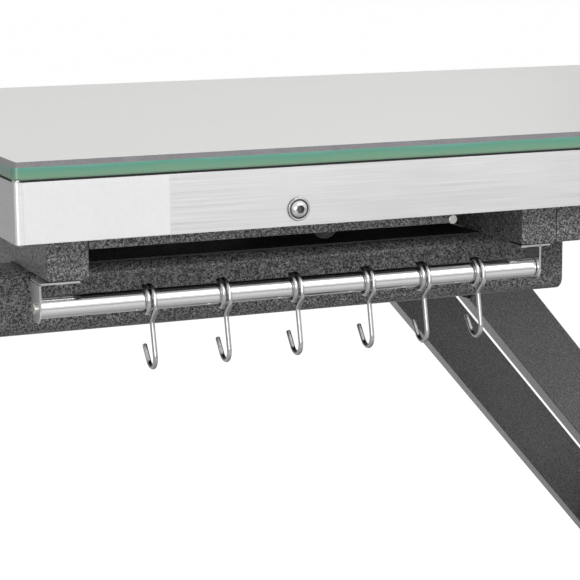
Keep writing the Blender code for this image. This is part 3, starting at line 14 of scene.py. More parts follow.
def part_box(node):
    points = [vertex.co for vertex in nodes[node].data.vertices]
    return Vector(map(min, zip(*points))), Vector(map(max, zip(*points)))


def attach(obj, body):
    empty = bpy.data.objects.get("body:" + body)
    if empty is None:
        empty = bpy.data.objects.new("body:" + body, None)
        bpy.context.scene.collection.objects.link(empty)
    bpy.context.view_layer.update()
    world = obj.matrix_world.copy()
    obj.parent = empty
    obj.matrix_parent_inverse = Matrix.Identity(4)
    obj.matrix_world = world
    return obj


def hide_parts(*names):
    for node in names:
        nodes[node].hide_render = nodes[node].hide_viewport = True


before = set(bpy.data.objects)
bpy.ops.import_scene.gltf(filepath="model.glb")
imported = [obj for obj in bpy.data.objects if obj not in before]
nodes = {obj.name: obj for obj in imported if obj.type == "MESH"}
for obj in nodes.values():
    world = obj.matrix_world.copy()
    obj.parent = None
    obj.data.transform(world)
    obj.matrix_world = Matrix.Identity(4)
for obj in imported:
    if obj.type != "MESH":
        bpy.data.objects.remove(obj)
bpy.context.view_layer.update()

X_AXIS = Vector((1, 0, 0))
Y_AXIS = Vector((0, 1, 0))
Z_AXIS = Vector((0, 0, 1))
SIDES = ((-1, "front"), (1, "rear"))
GAP = 0.0003
WHITE = (1, 1, 1, 1)

# Camera, solved from the photograph's straight edges
CAMERA_PLACE = (-0.94771, -1.57526, 1.14855)
CAMERA_YAW = radians(22.6246)
CAMERA_PITCH = radians(10.3635)
CAMERA_ROLL = radians(-0.5778)
CAMERA_LENS = 120.42
SENSOR = 36

# Studio
AMBIENT = 0.35
CARD_PLACE = (-2.0, 2.1, 0.9)
CARD_AIM = (-0.6, 0, 0.9)
CARD_SIZE = (2.6, 2.4)
FLOOR_HALF = 30
FLOOR_TONE = 0.56
GLOW_IN_REFLECTIONS = 0.4
GLOW_FROM = 0.5
GLOW_TO = 1.5
GLOW_NEAR = 0.34
GLOW_FAR = 0.80

# Glass, frame and plate
GLASS_IOR = 1.52
GLASS_CORNER = 0.004
GLASS_ARRIS = 0.0033
LOWER_ARRIS = 0.0012
FRAME_INSET = 0.001
FRAME_CORNER = 0.0026
FRAME_SHEET = 0.0015
FRAME_BEND = 0.0016
UPPER_LIP = 0.016
LOWER_LIP = 0.040
FRAME_SCREW_X = 0.419
FRAME_SCREW_Z = 0.0120
# Reaches from each screw's axis: inside the socket, in the groove and past the rim the heads carry painted
# shade.
SOCKET_REACH = 0.00285
SCREW_GROOVE = (0.0065, 0.0071)
SCREW_RIM = 0.0082
PLATE_FROM_LEFT = 0.0070
PLATE_TO = 0.1100
PLATE_PROUD = 0.0004
PLATE_CORNER = 0.0008

# Tubes, rails and strips
TUBE = 0.030
TUBE_EDGE = 0.0025
TUBE_END_EDGE = 0.0009
TUBE_WALL = 0.002
END_PLATE = 0.004
END_PLATE_DOWN = 0.029
END_PLATE_FROM_RAIL = 0.005
RAIL_CORNER = 0.010
RAIL_WALL = 0.003
PLATE_EDGE = 0.0006
STRIP_FACE = 0.305
STRIP_WIDTH = 0.026
STRIP_WEB = 0.009
STRIP_SHEET = 0.003
STRIP_EDGE = 0.0007
DOME_SHARE = 0.65
DOME_FROM_FACE = 0.0145
DOME_RADIUS = 0.0108
DOME_HEIGHT = 0.0130
STRIP_BOLT = 0.0035

# Hook rail, brackets and hooks
HOOK_RAIL = 0.0075
RAIL_HOLE = 0.0023
SHEET = 0.0015
BRACKET_HALF = 0.011
TAB_REACH = 0.010
TAB_NOSE = 0.0098
LEFT_FLANGE = 0.030
RIGHT_FLANGE = 0.025
LEFT_SCREW_X = -0.586
RIGHT_SCREW_IN = 0.0075
WIRE = 0.00175
HOOK_SHARES = (0.2104, 0.3545, 0.4980, 0.6455, 0.7625, 0.8795)
HOOK_TAIL = radians(-265)
HOOK_PITCH = 0.0046
HOOK_DROP = 0.0058
HOOK_LEAN = radians(-7.0698)
HOOK_SIDE_LEAN = radians(2)
HOOK_REACH = 0.0512
SHANK_TOP = 0.0165
SHANK_Y = 0.0015
BEND_RADIUS = 0.0088
BEND_TURN = radians(152)
WIRE_TIP = 0.72

# Scissor arms, pins and rollers
ARM_LENGTH = 1.080
RAISED_ANGLE = radians(49.66)
PIVOT_X = 0.513
LOW_Z = 0.0676
ARM_WIDTH = 0.025
ARM_DEPTH = 0.050
ARM_WALL = 0.0025
ARM_EDGE = 0.0013
ARM_TUBE_FROM_PIN = 0.046
ARM_A_FACE = 0.0975
ARM_B_FACE = 0.1265
LUG_THICKNESS = 0.012
LUG_RADIUS = 0.020
LUG_IN_TUBE = 0.030
LUG_BITE = 0.0012
LUG_OVERLAP = 0.001
END_BOSS = 0.0165
CENTRE_BOSS = 0.0180
PIN = 0.008
CENTRE_PIN = 0.010
PIN_CHAMFER = 0.001
NUT_FLATS = 0.026
NUT_THICKNESS = 0.010
BOLT_TIP = 0.004
WASHER = 0.0016
EAR_THICKNESS = 0.005
EAR_RADIUS = 0.018
EAR_PLATE = 0.004
EAR_PLATE_MARGIN = 0.002

# Base and actuator
BASE_TUBE_HALF = 0.020
MIDDLE_TUBE_X = -0.020
ACTUATOR_RADIUS = 0.022
SADDLE_HALF = 0.034
SADDLE_DEPTH = 0.026
SADDLE_OVER = 0.005
TAIL_X = PIVOT_X - 0.006
TAIL_PIN = 0.006
TAIL_GRIP = 0.012
TAIL_EAR = 0.0135

high_z = LOW_Z + ARM_LENGTH * sin(RAISED_ANGLE)
roller_x = PIVOT_X - ARM_LENGTH * cos(RAISED_ANGLE)
centre = Vector(((PIVOT_X + roller_x) / 2, 0, (LOW_Z + high_z) / 2))


# Shader nodes

def fill(tree, inputs, values):
    """Link or set inputs by name or number."""
    for key, value in values.items():
        if isinstance(value, bpy.types.NodeSocket):
            tree.links.new(value, inputs[key])
        else:
            inputs[key].default_value = value


def node(tree, kind, values=None, **settings):
    """Add a node, set its options and fill its inputs."""
    made = tree.nodes.new(kind)
    for key, value in settings.items():
        setattr(made, key, value)
    fill(tree, made.inputs, values or {})
    return made


def noise(tree, vector, scale, detail=2.0, **more):
    values = {"Vector": vector, "Scale": scale, "Detail": detail, **more}
    return node(tree, "ShaderNodeTexNoise", values).outputs["Fac"]


def remap(tree, value, from_min, from_max, to_min=0.0, to_max=1.0, **settings):
    values = {"Value": value, "From Min": from_min, "From Max": from_max, "To Min": to_min, "To Max": to_max}
    return node(tree, "ShaderNodeMapRange", values, **settings).outputs["Result"]


def maths(tree, operation, *values):
    return node(tree, "ShaderNodeMath", dict(enumerate(values)), operation=operation).outputs[0]


def stretched(tree, vector, scale):
    return node(tree, "ShaderNodeMapping", {"Vector": vector, "Scale": scale}).outputs[0]


def blended(tree, share, dark, light):
    values = {"Factor": share, "A": dark, "B": light}
    return node(tree, "ShaderNodeMix", values, data_type="RGBA").outputs["Result"]


def bump(tree, height, distance, strength):
    values = {"Height": height, "Distance": distance, "Strength": strength}
    return node(tree, "ShaderNodeBump", values).outputs["Normal"]


def ramp(tree, factor, stops):
    made = node(tree, "ShaderNodeValToRGB", {"Fac": factor})
    band = made.color_ramp
    while len(band.elements) < len(stops):
        band.elements.new(0.5)
    for element, (place, color) in zip(band.elements, stops):
        element.position = place
        element.color = (*color, 1)
    return made.outputs["Color"]


def grey(value):
    return (value, value, value, 1)


# Shader groups

def new_group(name, inputs):
    """A shader node group with these inputs that puts out colour, roughness and height."""
    group = bpy.data.node_groups.new(name, "ShaderNodeTree")
    for socket, value in inputs.items():
        kind = "Float" if isinstance(value, float) else {3: "Vector", 4: "Color"}[len(value)]
        made = group.interface.new_socket(name=socket, in_out="INPUT", socket_type="NodeSocket" + kind)
        made.default_value = value
    for socket, kind in (("Color", "Color"), ("Roughness", "Float"), ("Height", "Float")):
        group.interface.new_socket(name=socket, in_out="OUTPUT", socket_type="NodeSocket" + kind)
    start = group.nodes.new("NodeGroupInput")
    end = group.nodes.new("NodeGroupOutput")
    return group, start.outputs, end.inputs


def build_wrinkle_group():
    """Wrinkle powder coat: worm-like ridges, lighter on their crests with painted highlights."""
    inputs = {"Vector": (0, 0, 0), "Scale": 760.0, "Dark": grey(0.03), "Light": grey(0.1)}
    group, given, out = new_group("wrinkle_coat", inputs)
    worms = noise(group, given["Vector"], given["Scale"], 2.5, Roughness=0.55, Distortion=1.1)
    specks = node(group, "ShaderNodeTexVoronoi", {"Vector": given["Vector"], "Scale": given["Scale"]})
    crest = remap(group, worms, 0.44, 0.58)
    pits = maths(group, "MULTIPLY", specks.outputs["Distance"], 0.35)
    coat = blended(group, crest, given["Dark"], given["Light"])
    tone = remap(group, noise(group, given["Vector"], 9.0), 0.3, 0.7, 0.86, 1.12)
    shaded = node(group, "ShaderNodeVectorMath", {0: coat, 1: tone}, operation="MULTIPLY")
    fill(group, out, {"Color": shaded.outputs[0], "Roughness": remap(group, crest, 0, 1, 0.62, 0.40),
                      "Height": maths(group, "SUBTRACT", crest, pits)})
    return group


def build_brushed_group():
    """Brushed sheet: fine and wide level streaks under a cloudy tone."""
    inputs = {"Vector": (0, 0, 0), "Dark": grey(0.5), "Light": grey(0.8), "Grain": 1700.0}
    group, given, out = new_group("brushed_sheet", inputs)
    stretch = node(group, "ShaderNodeCombineXYZ", {"X": 9.0, "Y": 9.0, "Z": given["Grain"]})
    fine = noise(group, stretched(group, given["Vector"], stretch.outputs[0]), 1.0, 4.0, Roughness=0.7)
    wide = noise(group, stretched(group, given["Vector"], (4.0, 4.0, 620.0)), 1.0, 3.0)
    streaks = maths(group, "MULTIPLY_ADD", wide, 0.3, fine)
    both = maths(group, "ADD", streaks, noise(group, given["Vector"], 7.0))
    color = blended(group, remap(group, both, 0.80, 1.50), given["Dark"], given["Light"])
    fill(group, out, {"Color": color, "Roughness": remap(group, fine, 0.3, 0.7, 0.30, 0.44), "Height": fine})
    return group


def build_mottle_group():
    """Two tones that drift into each other, with a grain of its own scale."""
    inputs = {"Vector": (0, 0, 0), "Drift": 20.0, "Grain": 900.0, "Dark": grey(0.1), "Light": grey(0.2),
              "Least Roughness": 0.4, "Most Roughness": 0.6}
    group, given, out = new_group("mottle", inputs)
    drift = noise(group, given["Vector"], given["Drift"], 3.0, Roughness=0.6)
    grain = noise(group, given["Vector"], given["Grain"])
    share = remap(group, maths(group, "ADD", drift, grain), 0.72, 1.28)
    rough = remap(group, drift, 0.35, 0.65, given["Least Roughness"], given["Most Roughness"])
    fill(group, out, {"Color": blended(group, share, given["Dark"], given["Light"]), "Roughness": rough,
                      "Height": grain})
    return group


WRINKLE = build_wrinkle_group()
BRUSHED = build_brushed_group()
MOTTLE = build_mottle_group()


# Materials

def new_material(name):
    """A material, with its tree, its Principled inputs and its Object coordinates."""
    material = bpy.data.materials.new(name)
    material.use_nodes = True
    tree = material.node_tree
    place = node(tree, "ShaderNodeTexCoord").outputs["Object"]
    return material, tree, tree.nodes["Principled BSDF"].inputs, place


def grouped_material(name, group, values, distance, strength, **constants):
    """A Principled material whose colour, roughness and bump come from a group."""
    material, tree, shader, place = new_material(name)
    effect = node(tree, "ShaderNodeGroup", {"Vector": place, **values}, node_tree=group).outputs
    fill(tree, shader, {"Base Color": effect["Color"], "Roughness": effect["Roughness"],
                        "Normal": bump(tree, effect["Height"], distance, strength)})
    for key, value in constants.items():
        shader[key.replace("_", " ")].default_value = value
    return material


def wrinkled(name, scale, dark, light, distance, strength, **constants):
    values = {"Scale": scale, "Dark": grey(dark), "Light": grey(light)}
    return grouped_material(name, WRINKLE, values, distance, strength, **constants)


def mottled(name, dark, light, roughness, grain=900.0, drift=20.0, distance=0.0001, strength=0.2,
            **constants):
    values = {"Dark": dark, "Light": light, "Least Roughness": roughness[0], "Most Roughness": roughness[1],
              "Grain": grain, "Drift": drift}
    return grouped_material(name, MOTTLE, values, distance, strength, **constants)


def metal(name, dark, light, roughness, **more):
    return mottled(name, grey(dark), grey(light), roughness, Metallic=1.0, **more)


def cut_glass(name, stops, least, most):
    """The cut edge of the glass: its own green in colour bands by height, the lighter teal top painted light,
    and faint level streaks.
    """
    material, tree, shader, place = new_material(name)
    low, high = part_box("glass_top")
    height = node(tree, "ShaderNodeSeparateXYZ", {0: place}).outputs["Z"]
    wander = remap(tree, noise(tree, place, 26.0, 3.0), 0, 1, -0.0024, 0.0024)
    share = remap(tree, maths(tree, "ADD", height, wander), low.z, high.z)
    streak = noise(tree, stretched(tree, place, (30, 30, 900)), 1.0)
    fill(tree, shader, {"Base Color": ramp(tree, share, stops),
                        "Roughness": remap(tree, streak, 0, 1, least, most),
                        "Normal": bump(tree, streak, 0.00004, 0.3), "IOR": GLASS_IOR, "Coat Weight": 0.5,
                        "Coat Roughness": 0.08})
    return material


def film_faced(name, stops):
    """Film-faced plywood: dark, with the long grain showing through faintly."""
    material, tree, shader, place = new_material(name)
    figure = noise(tree, stretched(tree, place, (1.2, 16.0, 60.0)), 2.2, 5.0, Roughness=0.62, Distortion=0.7)
    fibre = noise(tree, stretched(tree, place, (14.0, 420.0, 420.0)), 1.0)
    both = maths(tree, "MULTIPLY_ADD", fibre, 0.35, figure)
    fill(tree, shader, {"Base Color": ramp(tree, both, stops), "Roughness": 0.5,
                        "Normal": bump(tree, fibre, 0.0002, 0.35)})
    return material


# Finishes
# In these wrinkle coats the Light tone, on the crests, is painted highlight.
POWDER_COAT = wrinkled("dark_wrinkle_coat", 760.0, 0.002, 0.365, 0.0006, 0.9, Coat_Weight=0.6,
                       Coat_Roughness=0.30)
# A near-black wrinkle coat of painted shade, for the slot over the rail cover and for the domes under the
# edge strips.
COVER_COAT = wrinkled("painted_shade_coat", 760.0, 0.004, 0.030, 0.0002, 0.5)
ARM_COAT = wrinkled("fine_wrinkle_coat", 1150.0, 0.016, 0.160, 0.0003, 0.6, Coat_Weight=1.0,
                    Coat_Roughness=0.26)
BRUSHED_STEEL = grouped_material("brushed_stainless", BRUSHED, {"Dark": grey(0.71), "Light": grey(0.88)},
                                 0.00003, 0.25, Metallic=1.0)
CHROME = metal("polished_chrome", 0.74, 0.82, (0.04, 0.09), distance=0.00001, strength=0.1)
HOOK_STEEL = metal("drawn_wire_steel", 0.46, 0.58, (0.16, 0.24), grain=300.0, distance=0.00003)
BRACKET_STEEL = metal("bracket_stainless", 0.66, 0.80, (0.16, 0.26), distance=0.00002)
SCREW_STEEL = metal("screw_stainless", 0.58, 0.72, (0.18, 0.26), distance=0.00002)
# Dark steel for painted shade: the screw sockets, their grooves and the contact ring at their rims.
SOCKET_SHADE = metal("screw_painted_shade", 0.10, 0.16, (0.45, 0.60), distance=0.00002)
BRIGHT_STEEL = metal("turned_steel", 0.42, 0.56, (0.22, 0.34), grain=1200.0, distance=0.00003)
ALLOY = metal("satin_alloy", 0.44, 0.58, (0.34, 0.46), grain=1500.0, distance=0.00003)
ZINC = mottled("zinc_plate", (0.48, 0.48, 0.46, 1), (0.66, 0.66, 0.63, 1), (0.28, 0.42), grain=700.0,
               distance=0.00005, strength=0.3, Metallic=1.0)
NYLON = mottled("roller_nylon", (0.60, 0.58, 0.52, 1), (0.72, 0.70, 0.65, 1), (0.34, 0.48), grain=600.0)
RUBBER = mottled("foot_rubber", grey(0.014), grey(0.032), (0.66, 0.84), grain=1400.0, strength=0.4)
GASKET = mottled("gasket_rubber", grey(0.008), grey(0.016), (0.60, 0.75), grain=1100.0)
BLACK_PLASTIC = mottled("moulded_black_plastic", grey(0.020), grey(0.034), (0.40, 0.55), grain=2200.0,
                        distance=0.00015, strength=0.45)
PEDAL_PLASTIC = mottled("pedal_plastic", grey(0.024), grey(0.044), (0.46, 0.62), grain=1800.0,
                        distance=0.0002, strength=0.5)
WHITE_FILM = mottled("bare_white_plate", (0.95, 0.95, 0.955, 1), grey(0.985), (0.20, 0.30), grain=300.0,
                     drift=12.0, distance=0.00002, strength=0.1)
GLASS_FACE = mottled("glass_top_face", (0.620, 0.636, 0.606, 1), (0.634, 0.648, 0.620, 1), (0.30, 0.34),
                     grain=60.0, drift=5.0, distance=0.00001, strength=0.05, IOR=GLASS_IOR,
                     Specular_IOR_Level=0.30)
# The edge's green is the glass's own; its lighter teal band towards the top is painted light.
GLASS_EDGE = cut_glass("cut_glass_edge", [
    (0.00, (0.220, 0.385, 0.260)), (0.28, (0.190, 0.395, 0.262)), (0.50, (0.140, 0.385, 0.275)),
    (0.62, (0.135, 0.405, 0.305)), (0.74, (0.205, 0.430, 0.355))], 0.12, 0.24)
# The upper arris is ground; its grey-purple tone is a painted reflection.
GLASS_GROUND = mottled("ground_arris_painted_reflection", (0.22, 0.215, 0.225, 1), (0.31, 0.30, 0.315, 1), (0.42, 0.60),
                       grain=700.0, drift=40.0)
BOARD = film_faced("film_faced_board", [
    (0.45, (0.022, 0.020, 0.019)), (0.62, (0.034, 0.031, 0.029)), (0.85, (0.060, 0.054, 0.050))])


# Making pieces

def add_piece(bm, name, body, finish, stands_for=(), smooth_angle=35, finish_of=None):
    """Turn a bmesh in world coordinates into a piece that rides on a body."""
    mesh = bpy.data.meshes.new(name)
    for entry in finish if isinstance(finish, list) else [finish]:
        mesh.materials.append(entry)
    if finish_of:
        for face in bm.faces:
            face.material_index = finish_of(face)
    bm.to_mesh(mesh)
    bm.free()
    mesh.shade_smooth()
    mesh.set_sharp_from_angle(angle=radians(smooth_angle))
    piece = bpy.data.objects.new(name, mesh)
    bpy.context.scene.collection.objects.link(piece)
    weigh = piece.modifiers.new("flat_faces_stay_flat", "WEIGHTED_NORMAL")
    weigh.keep_sharp = True
    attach(piece, body)
    if stands_for:
        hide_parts(*stands_for)


def painted(bm, name, body, finish=POWDER_COAT, finish_of=None):
    """A painted piece in the place of the CAD node of that name."""
    add_piece(bm, name + "_skin", body, finish, [name], 40, finish_of)


def block(bm, low, high):
    """A box between two corners; gives its vertices."""
    low, high = Vector(low), Vector(high)
    place = Matrix.Translation((low + high) / 2) @ Matrix.Diagonal((*(high - low), 1))
    return bmesh.ops.create_cube(bm, size=1, matrix=place)["verts"]


def edges_of(verts):
    return list({edge for vert in verts for edge in vert.link_edges})


def runs_along(edge, axis):
    line = (edge.verts[1].co - edge.verts[0].co).normalized()
    return abs(line.dot(axis)) > 0.999


def edges_along(verts, axis):
    return [edge for edge in edges_of(verts) if runs_along(edge, axis)]


def round_edges(bm, edges, radius, segments):
    return bmesh.ops.bevel(bm, geom=edges, offset=radius, segments=segments, profile=0.5, affect="EDGES",
                           material=-1, clamp_overlap=True)


def soft_block(bm, low, high, radius, segments=2):
    """A box with all its edges rounded."""
    round_edges(bm, edges_of(block(bm, low, high)), radius, segments)


def bar(bm, low, high, axis, edge, end_edge):
    """A box whose edges along one axis are rounder than those at its ends."""
    made = round_edges(bm, edges_along(block(bm, low, high), axis), edge, 5)
    faces = set(made["faces"])
    for face in list(faces):
        for item in face.edges:
            faces.update(item.link_faces)
    rim = {item for face in faces for item in face.edges
           if abs(item.verts[0].co.dot(axis) - item.verts[1].co.dot(axis)) < GAP / 10}
    round_edges(bm, list(rim), end_edge, 2)


def thicken(bm, wall):
    """Give an open shell its wall, inwards from its largest face that looks along Y."""
    bmesh.ops.recalc_face_normals(bm, faces=bm.faces)
    bm.normal_update()
    outer = max(bm.faces, key=lambda item: abs(item.normal.y) * item.calc_area())
    if outer.normal.dot(outer.calc_center_median()) < 0:
        bmesh.ops.reverse_faces(bm, faces=bm.faces)
    bmesh.ops.solidify(bm, geom=bm.faces, thickness=wall)
    bmesh.ops.recalc_face_normals(bm, faces=bm.faces)


def turned(bm, profile, start, axis, steps):
    """Spin (radius, along) points about a line through start."""
    axis = Vector(axis).normalized()
    helper = Z_AXIS if abs(axis.z) < 0.9 else X_AXIS
    side = axis.cross(helper).normalized()
    start = Vector(start)
    verts = [bm.verts.new(start + radius * side + along * axis) for radius, along in profile]
    edges = [bm.edges.new(pair) for pair in zip(verts, verts[1:])]
    bmesh.ops.spin(bm, geom=verts + edges, cent=start, axis=axis, angle=tau, steps=steps, use_merge=True,
                   use_duplicate=False)
    bmesh.ops.remove_doubles(bm, verts=bm.verts, dist=GAP / 100)
    bmesh.ops.recalc_face_normals(bm, faces=bm.faces)


def turned_piece(name, stands_for, body, finish, profile, start, axis, steps):
    """A piece spun from its half section, in the place of a CAD node."""
    bm = bmesh.new()
    turned(bm, profile, start, axis, steps)
    add_piece(bm, name, body, finish, [stands_for], 30)


def arc(middle, radius, first, last, steps):
    """Points on an arc as (radius, along) pairs, angles in degrees."""
    points = []
    for step in range(steps + 1):
        angle = radians(first + (last - first) * step / steps)
        points.append((middle[0] + radius * cos(angle), middle[1] + radius * sin(angle)))
    return points


def disc(bm, start, axis, radius, thickness, edge, steps=48):
    """A short cylinder with rounded rims, from start along the axis."""
    edge = min(edge, thickness / 2.5, radius / 3)
    profile = [(0, 0), *arc((radius - edge, edge), edge, -90, 0, 2),
               *arc((radius - edge, thickness - edge), edge, 0, 90, 2), (0, thickness)]
    turned(bm, profile, start, axis, steps)


def hexagon(bm, start, axis, flats, thickness):
    """A nut or bolt head with its rims eased."""
    axis = Vector(axis).normalized()
    corner = flats / 2 / cos(pi / 6)
    turn = Z_AXIS.rotation_difference(axis).to_matrix().to_4x4()
    place = Matrix.Translation(Vector(start) + axis * thickness / 2) @ turn
    verts = bmesh.ops.create_cone(bm, cap_ends=True, segments=6, radius1=corner, radius2=corner,
                                  depth=thickness, matrix=place)["verts"]
    rims = [edge for edge in edges_of(verts) if not runs_along(edge, axis)]
    round_edges(bm, rims, thickness * 0.09, 2)


def matrix_along(low_end, high_end, y):
    """A frame with +X along an arm and its origin at the arm's middle."""
    low = Vector((low_end[0], y, low_end[1]))
    high = Vector((high_end[0], y, high_end[1]))
    along = (high - low).normalized()
    turn = Matrix((along, Y_AXIS, along.cross(Y_AXIS))).transposed().to_4x4()
    return Matrix.Translation((low + high) / 2) @ turn


def join(bm, fresh):
    """Add a second bmesh to the first."""
    held = bpy.data.meshes.new("held")
    fresh.to_mesh(held)
    fresh.free()
    bm.from_mesh(held)
    bpy.data.meshes.remove(held)


def softened_copy(name, node_name, body, finish, width):
    """A merged copy of a CAD node with its sharp edges eased."""
    bm = bmesh.new()
    bm.from_mesh(nodes[node_name].data)
    bmesh.ops.remove_doubles(bm, verts=bm.verts, dist=GAP / 30)
    bmesh.ops.dissolve_limit(bm, angle_limit=radians(0.6), use_dissolve_boundaries=False, verts=bm.verts,
                             edges=bm.edges)
    sharp = [edge for edge in bm.edges if len(edge.link_faces) == 2 and edge.calc_face_angle(0) > radians(46)]
    round_edges(bm, sharp, width, 2)
    bmesh.ops.recalc_face_normals(bm, faces=bm.faces)
    add_piece(bm, name, body, finish, [node_name], 40)


def finish_node(name, finish):
    """Give a CAD node that stays a finish of its own."""
    shown = nodes[name]
    if not shown.material_slots:
        shown.data.materials.append(finish)
    for entry in shown.material_slots:
        entry.material = finish


# Glass, frame and plate

def make_glass():
    low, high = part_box("glass_top")
    bm = bmesh.new()
    round_edges(bm, edges_along(block(bm, low, high), Z_AXIS), GLASS_CORNER, 6)
    for level, size in ((high.z, GLASS_ARRIS), (low.z, LOWER_ARRIS)):
        rim = [edge for edge in bm.edges if all(abs(vert.co.z - level) < GAP / 10 for vert in edge.verts)]
        round_edges(bm, rim, size, 1)
    bm.normal_update()

    def which(item):
        if abs(item.normal.z) > 0.95:
            return 0
        return 2 if item.normal.z > 0.3 else 1

    # The faces take the top finish, the cut edge its bands of painted light, the upper arris its painted
    # reflection.
    finishes = [GLASS_FACE, GLASS_EDGE, GLASS_GROUND]
    add_piece(bm, "glass_sheet", "top", finishes, ["glass_top"], 30, which)


def make_frame():
    """The folded stainless ring with its two lips turned in, and its screws."""
    low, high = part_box("steel_frame")
    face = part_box("glass_top")[1] - Vector((FRAME_INSET, FRAME_INSET, 0))
    bm = bmesh.new()
    wall = block(bm, (-face.x, -face.y, low.z), (face.x, face.y, high.z))
    round_edges(bm, edges_along(wall, Z_AXIS), FRAME_CORNER, 8)
    bm.normal_update()
    near = FRAME_CORNER * 0.95
    for sign, lip in ((1, UPPER_LIP), (-1, LOWER_LIP)):
        cap = [item for item in bm.faces if item.normal.z * sign > 0.99]
        for thickness in (near, GAP):
            bmesh.ops.inset_region(bm, faces=cap, thickness=thickness, depth=0, use_even_offset=True)
        for vert in cap[0].verts:
            vert.co.x -= (lip - near - GAP) * (1 if vert.co.x > 0 else -1)
            vert.co.y -= (lip - near - GAP) * (1 if vert.co.y > 0 else -1)
        bmesh.ops.delete(bm, geom=cap, context="FACES_ONLY")
    folds = [edge for edge in bm.edges if len(edge.link_faces) == 2
             and abs(edge.link_faces[0].normal.z - edge.link_faces[1].normal.z) > 0.9]
    round_edges(bm, folds, FRAME_BEND, 3)
    thicken(bm, FRAME_SHEET)
    add_piece(bm, "frame_sheet", "top", BRUSHED_STEEL, ["steel_frame"], 30)

    bm = bmesh.new()
    for side, _ in SIDES:
        for x in (-FRAME_SCREW_X, FRAME_SCREW_X):
            button_screw(bm, Vector((x, side * face.y, low.z + FRAME_SCREW_Z)), side * Y_AXIS)

    # Socket, groove and outer rim of each screw get the dark steel of painted shade.
    def shaded(item):
        middle = item.calc_center_median()
        across = min(abs(middle.x - FRAME_SCREW_X), abs(middle.x + FRAME_SCREW_X))
        aside = middle.z - low.z - FRAME_SCREW_Z
        reach = (across * across + aside * aside) ** 0.5
        in_groove = SCREW_GROOVE[0] < reach < SCREW_GROOVE[1]
        return 1 if reach < SOCKET_REACH or in_groove or reach > SCREW_RIM else 0

    add_piece(bm, "frame_screws", "top", [SCREW_STEEL, SOCKET_SHADE], (), 30, shaded)


def button_screw(bm, place, out):
    """A flanged button head with a hexagon socket."""
    socket = 0.0025
    socket_depth = 0.0022
    mouth_radius = 0.0032
    seat = 0.0003
    top = 0.0042
    dome_radius = 0.0064
    flange = [(0, -0.0012), (0.0030, -0.0012), (0.0085, -0.0002), (0.0085, 0.0008),
              *arc((0.0079, 0.0008), 0.0006, 10, 90, 3), (0.0071, 0.0013), (0.0067, seat)]
    crown = [(radius, seat + along * (top - seat) / dome_radius)
             for radius, along in arc((0, 0), dome_radius, 0, 58, 8)]
    before = set(bm.verts)
    turned(bm, [*flange, *crown, (mouth_radius, top - seat)], place, out, 36)
    fresh = [vert for vert in bm.verts if vert not in before]
    height = max((vert.co - place).dot(out) for vert in fresh)
    mouth = [vert for vert in fresh if abs((vert.co - place).dot(out) - height) < 0.00002]
    ring = [edge for edge in edges_of(mouth) if all(vert in mouth for vert in edge.verts)]
    for depth, hexagonal in ((0.0, True), (-socket_depth, False)):
        made = bmesh.ops.extrude_edge_only(bm, edges=ring)["geom"]
        mouth = [item for item in made if isinstance(item, bmesh.types.BMVert)]
        ring = [item for item in made if isinstance(item, bmesh.types.BMEdge)
                and all(vert in mouth for vert in item.verts)]
        for vert in mouth:
            if hexagonal:
                offset = vert.co - place
                level = offset.dot(out)
                flat = offset - level * out
                from_flat = (atan2(flat.z, flat.x) + pi / 6) % (pi / 3) - pi / 6
                vert.co = place + level * out + flat.normalized() * socket / cos(from_flat)
            vert.co += depth * out
    bmesh.ops.edgeloop_fill(bm, edges=ring)
    bmesh.ops.recalc_face_normals(bm, faces=bm.faces)


def make_plate():
    """The plate at the left of the front face, left bare, with a pillowed rim."""
    low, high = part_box("steel_frame")
    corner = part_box("glass_top")[0]
    face = corner.y + FRAME_INSET
    bm = bmesh.new()
    verts = block(bm, (corner.x + PLATE_FROM_LEFT, face - PLATE_PROUD, low.z + 0.0006),
                  (corner.x + PLATE_TO, face - 0.00005, high.z - 0.0004))
    bm.normal_update()
    field = [item for item in bm.faces if abs(item.calc_center_median().y - face + PLATE_PROUD) < GAP / 10]
    for thickness in (0.0012, 0.0022):
        bmesh.ops.inset_region(bm, faces=field, thickness=thickness, depth=0, use_even_offset=True)
    for vert in field[0].verts:
        vert.co.y -= PLATE_PROUD
    round_edges(bm, edges_along(verts, Y_AXIS), PLATE_CORNER, 4)
    add_piece(bm, "bare_plate", "top", WHITE_FILM)


# Tubes, rails and strips

def make_top_tubes():
    for name, axis in (("cross_tube_left", Y_AXIS), ("cross_tube_middle", Y_AXIS),
                       ("cross_tube_right", Y_AXIS), ("side_tube_front", X_AXIS),
                       ("side_tube_rear", X_AXIS)):
        low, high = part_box(name)
        bm = bmesh.new()
        bar(bm, (low.x, low.y, high.z - TUBE), high, axis, TUBE_EDGE, TUBE_END_EDGE)
        if name == "cross_tube_left":
            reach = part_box("top_rail_rear")[0].y - END_PLATE_FROM_RAIL
            near = low.x + TUBE_WALL / 2
            soft_block(bm, (near, -reach, low.z), (near + END_PLATE, reach, high.z - END_PLATE_DOWN),
                       PLATE_EDGE)
        painted(bm, name, "top")
    # The rail cover sheet wears the painted shade coat, so the slot under the frame reads dark.
    low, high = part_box("rail_cover")
    bm = bmesh.new()
    soft_block(bm, low, high, 0.0004)
    add_piece(bm, "rail_cover_sheet", "top", COVER_COAT, ["rail_cover"], 40)
    low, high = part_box("cross_tube_pivot")
    bm = bmesh.new()
    bar(bm, (PIVOT_X - TUBE / 2, low.y, high.z - TUBE), (PIVOT_X + TUBE / 2, high.y, high.z), Y_AXIS,
        TUBE_EDGE, TUBE_END_EDGE)
    for side, _ in SIDES:
        clevis(bm, PIVOT_X, high_z, high.z - TUBE, side * (ARM_B_FACE + ARM_WIDTH / 2), ARM_WIDTH, EAR_RADIUS)
    painted(bm, "cross_tube_pivot", "top")


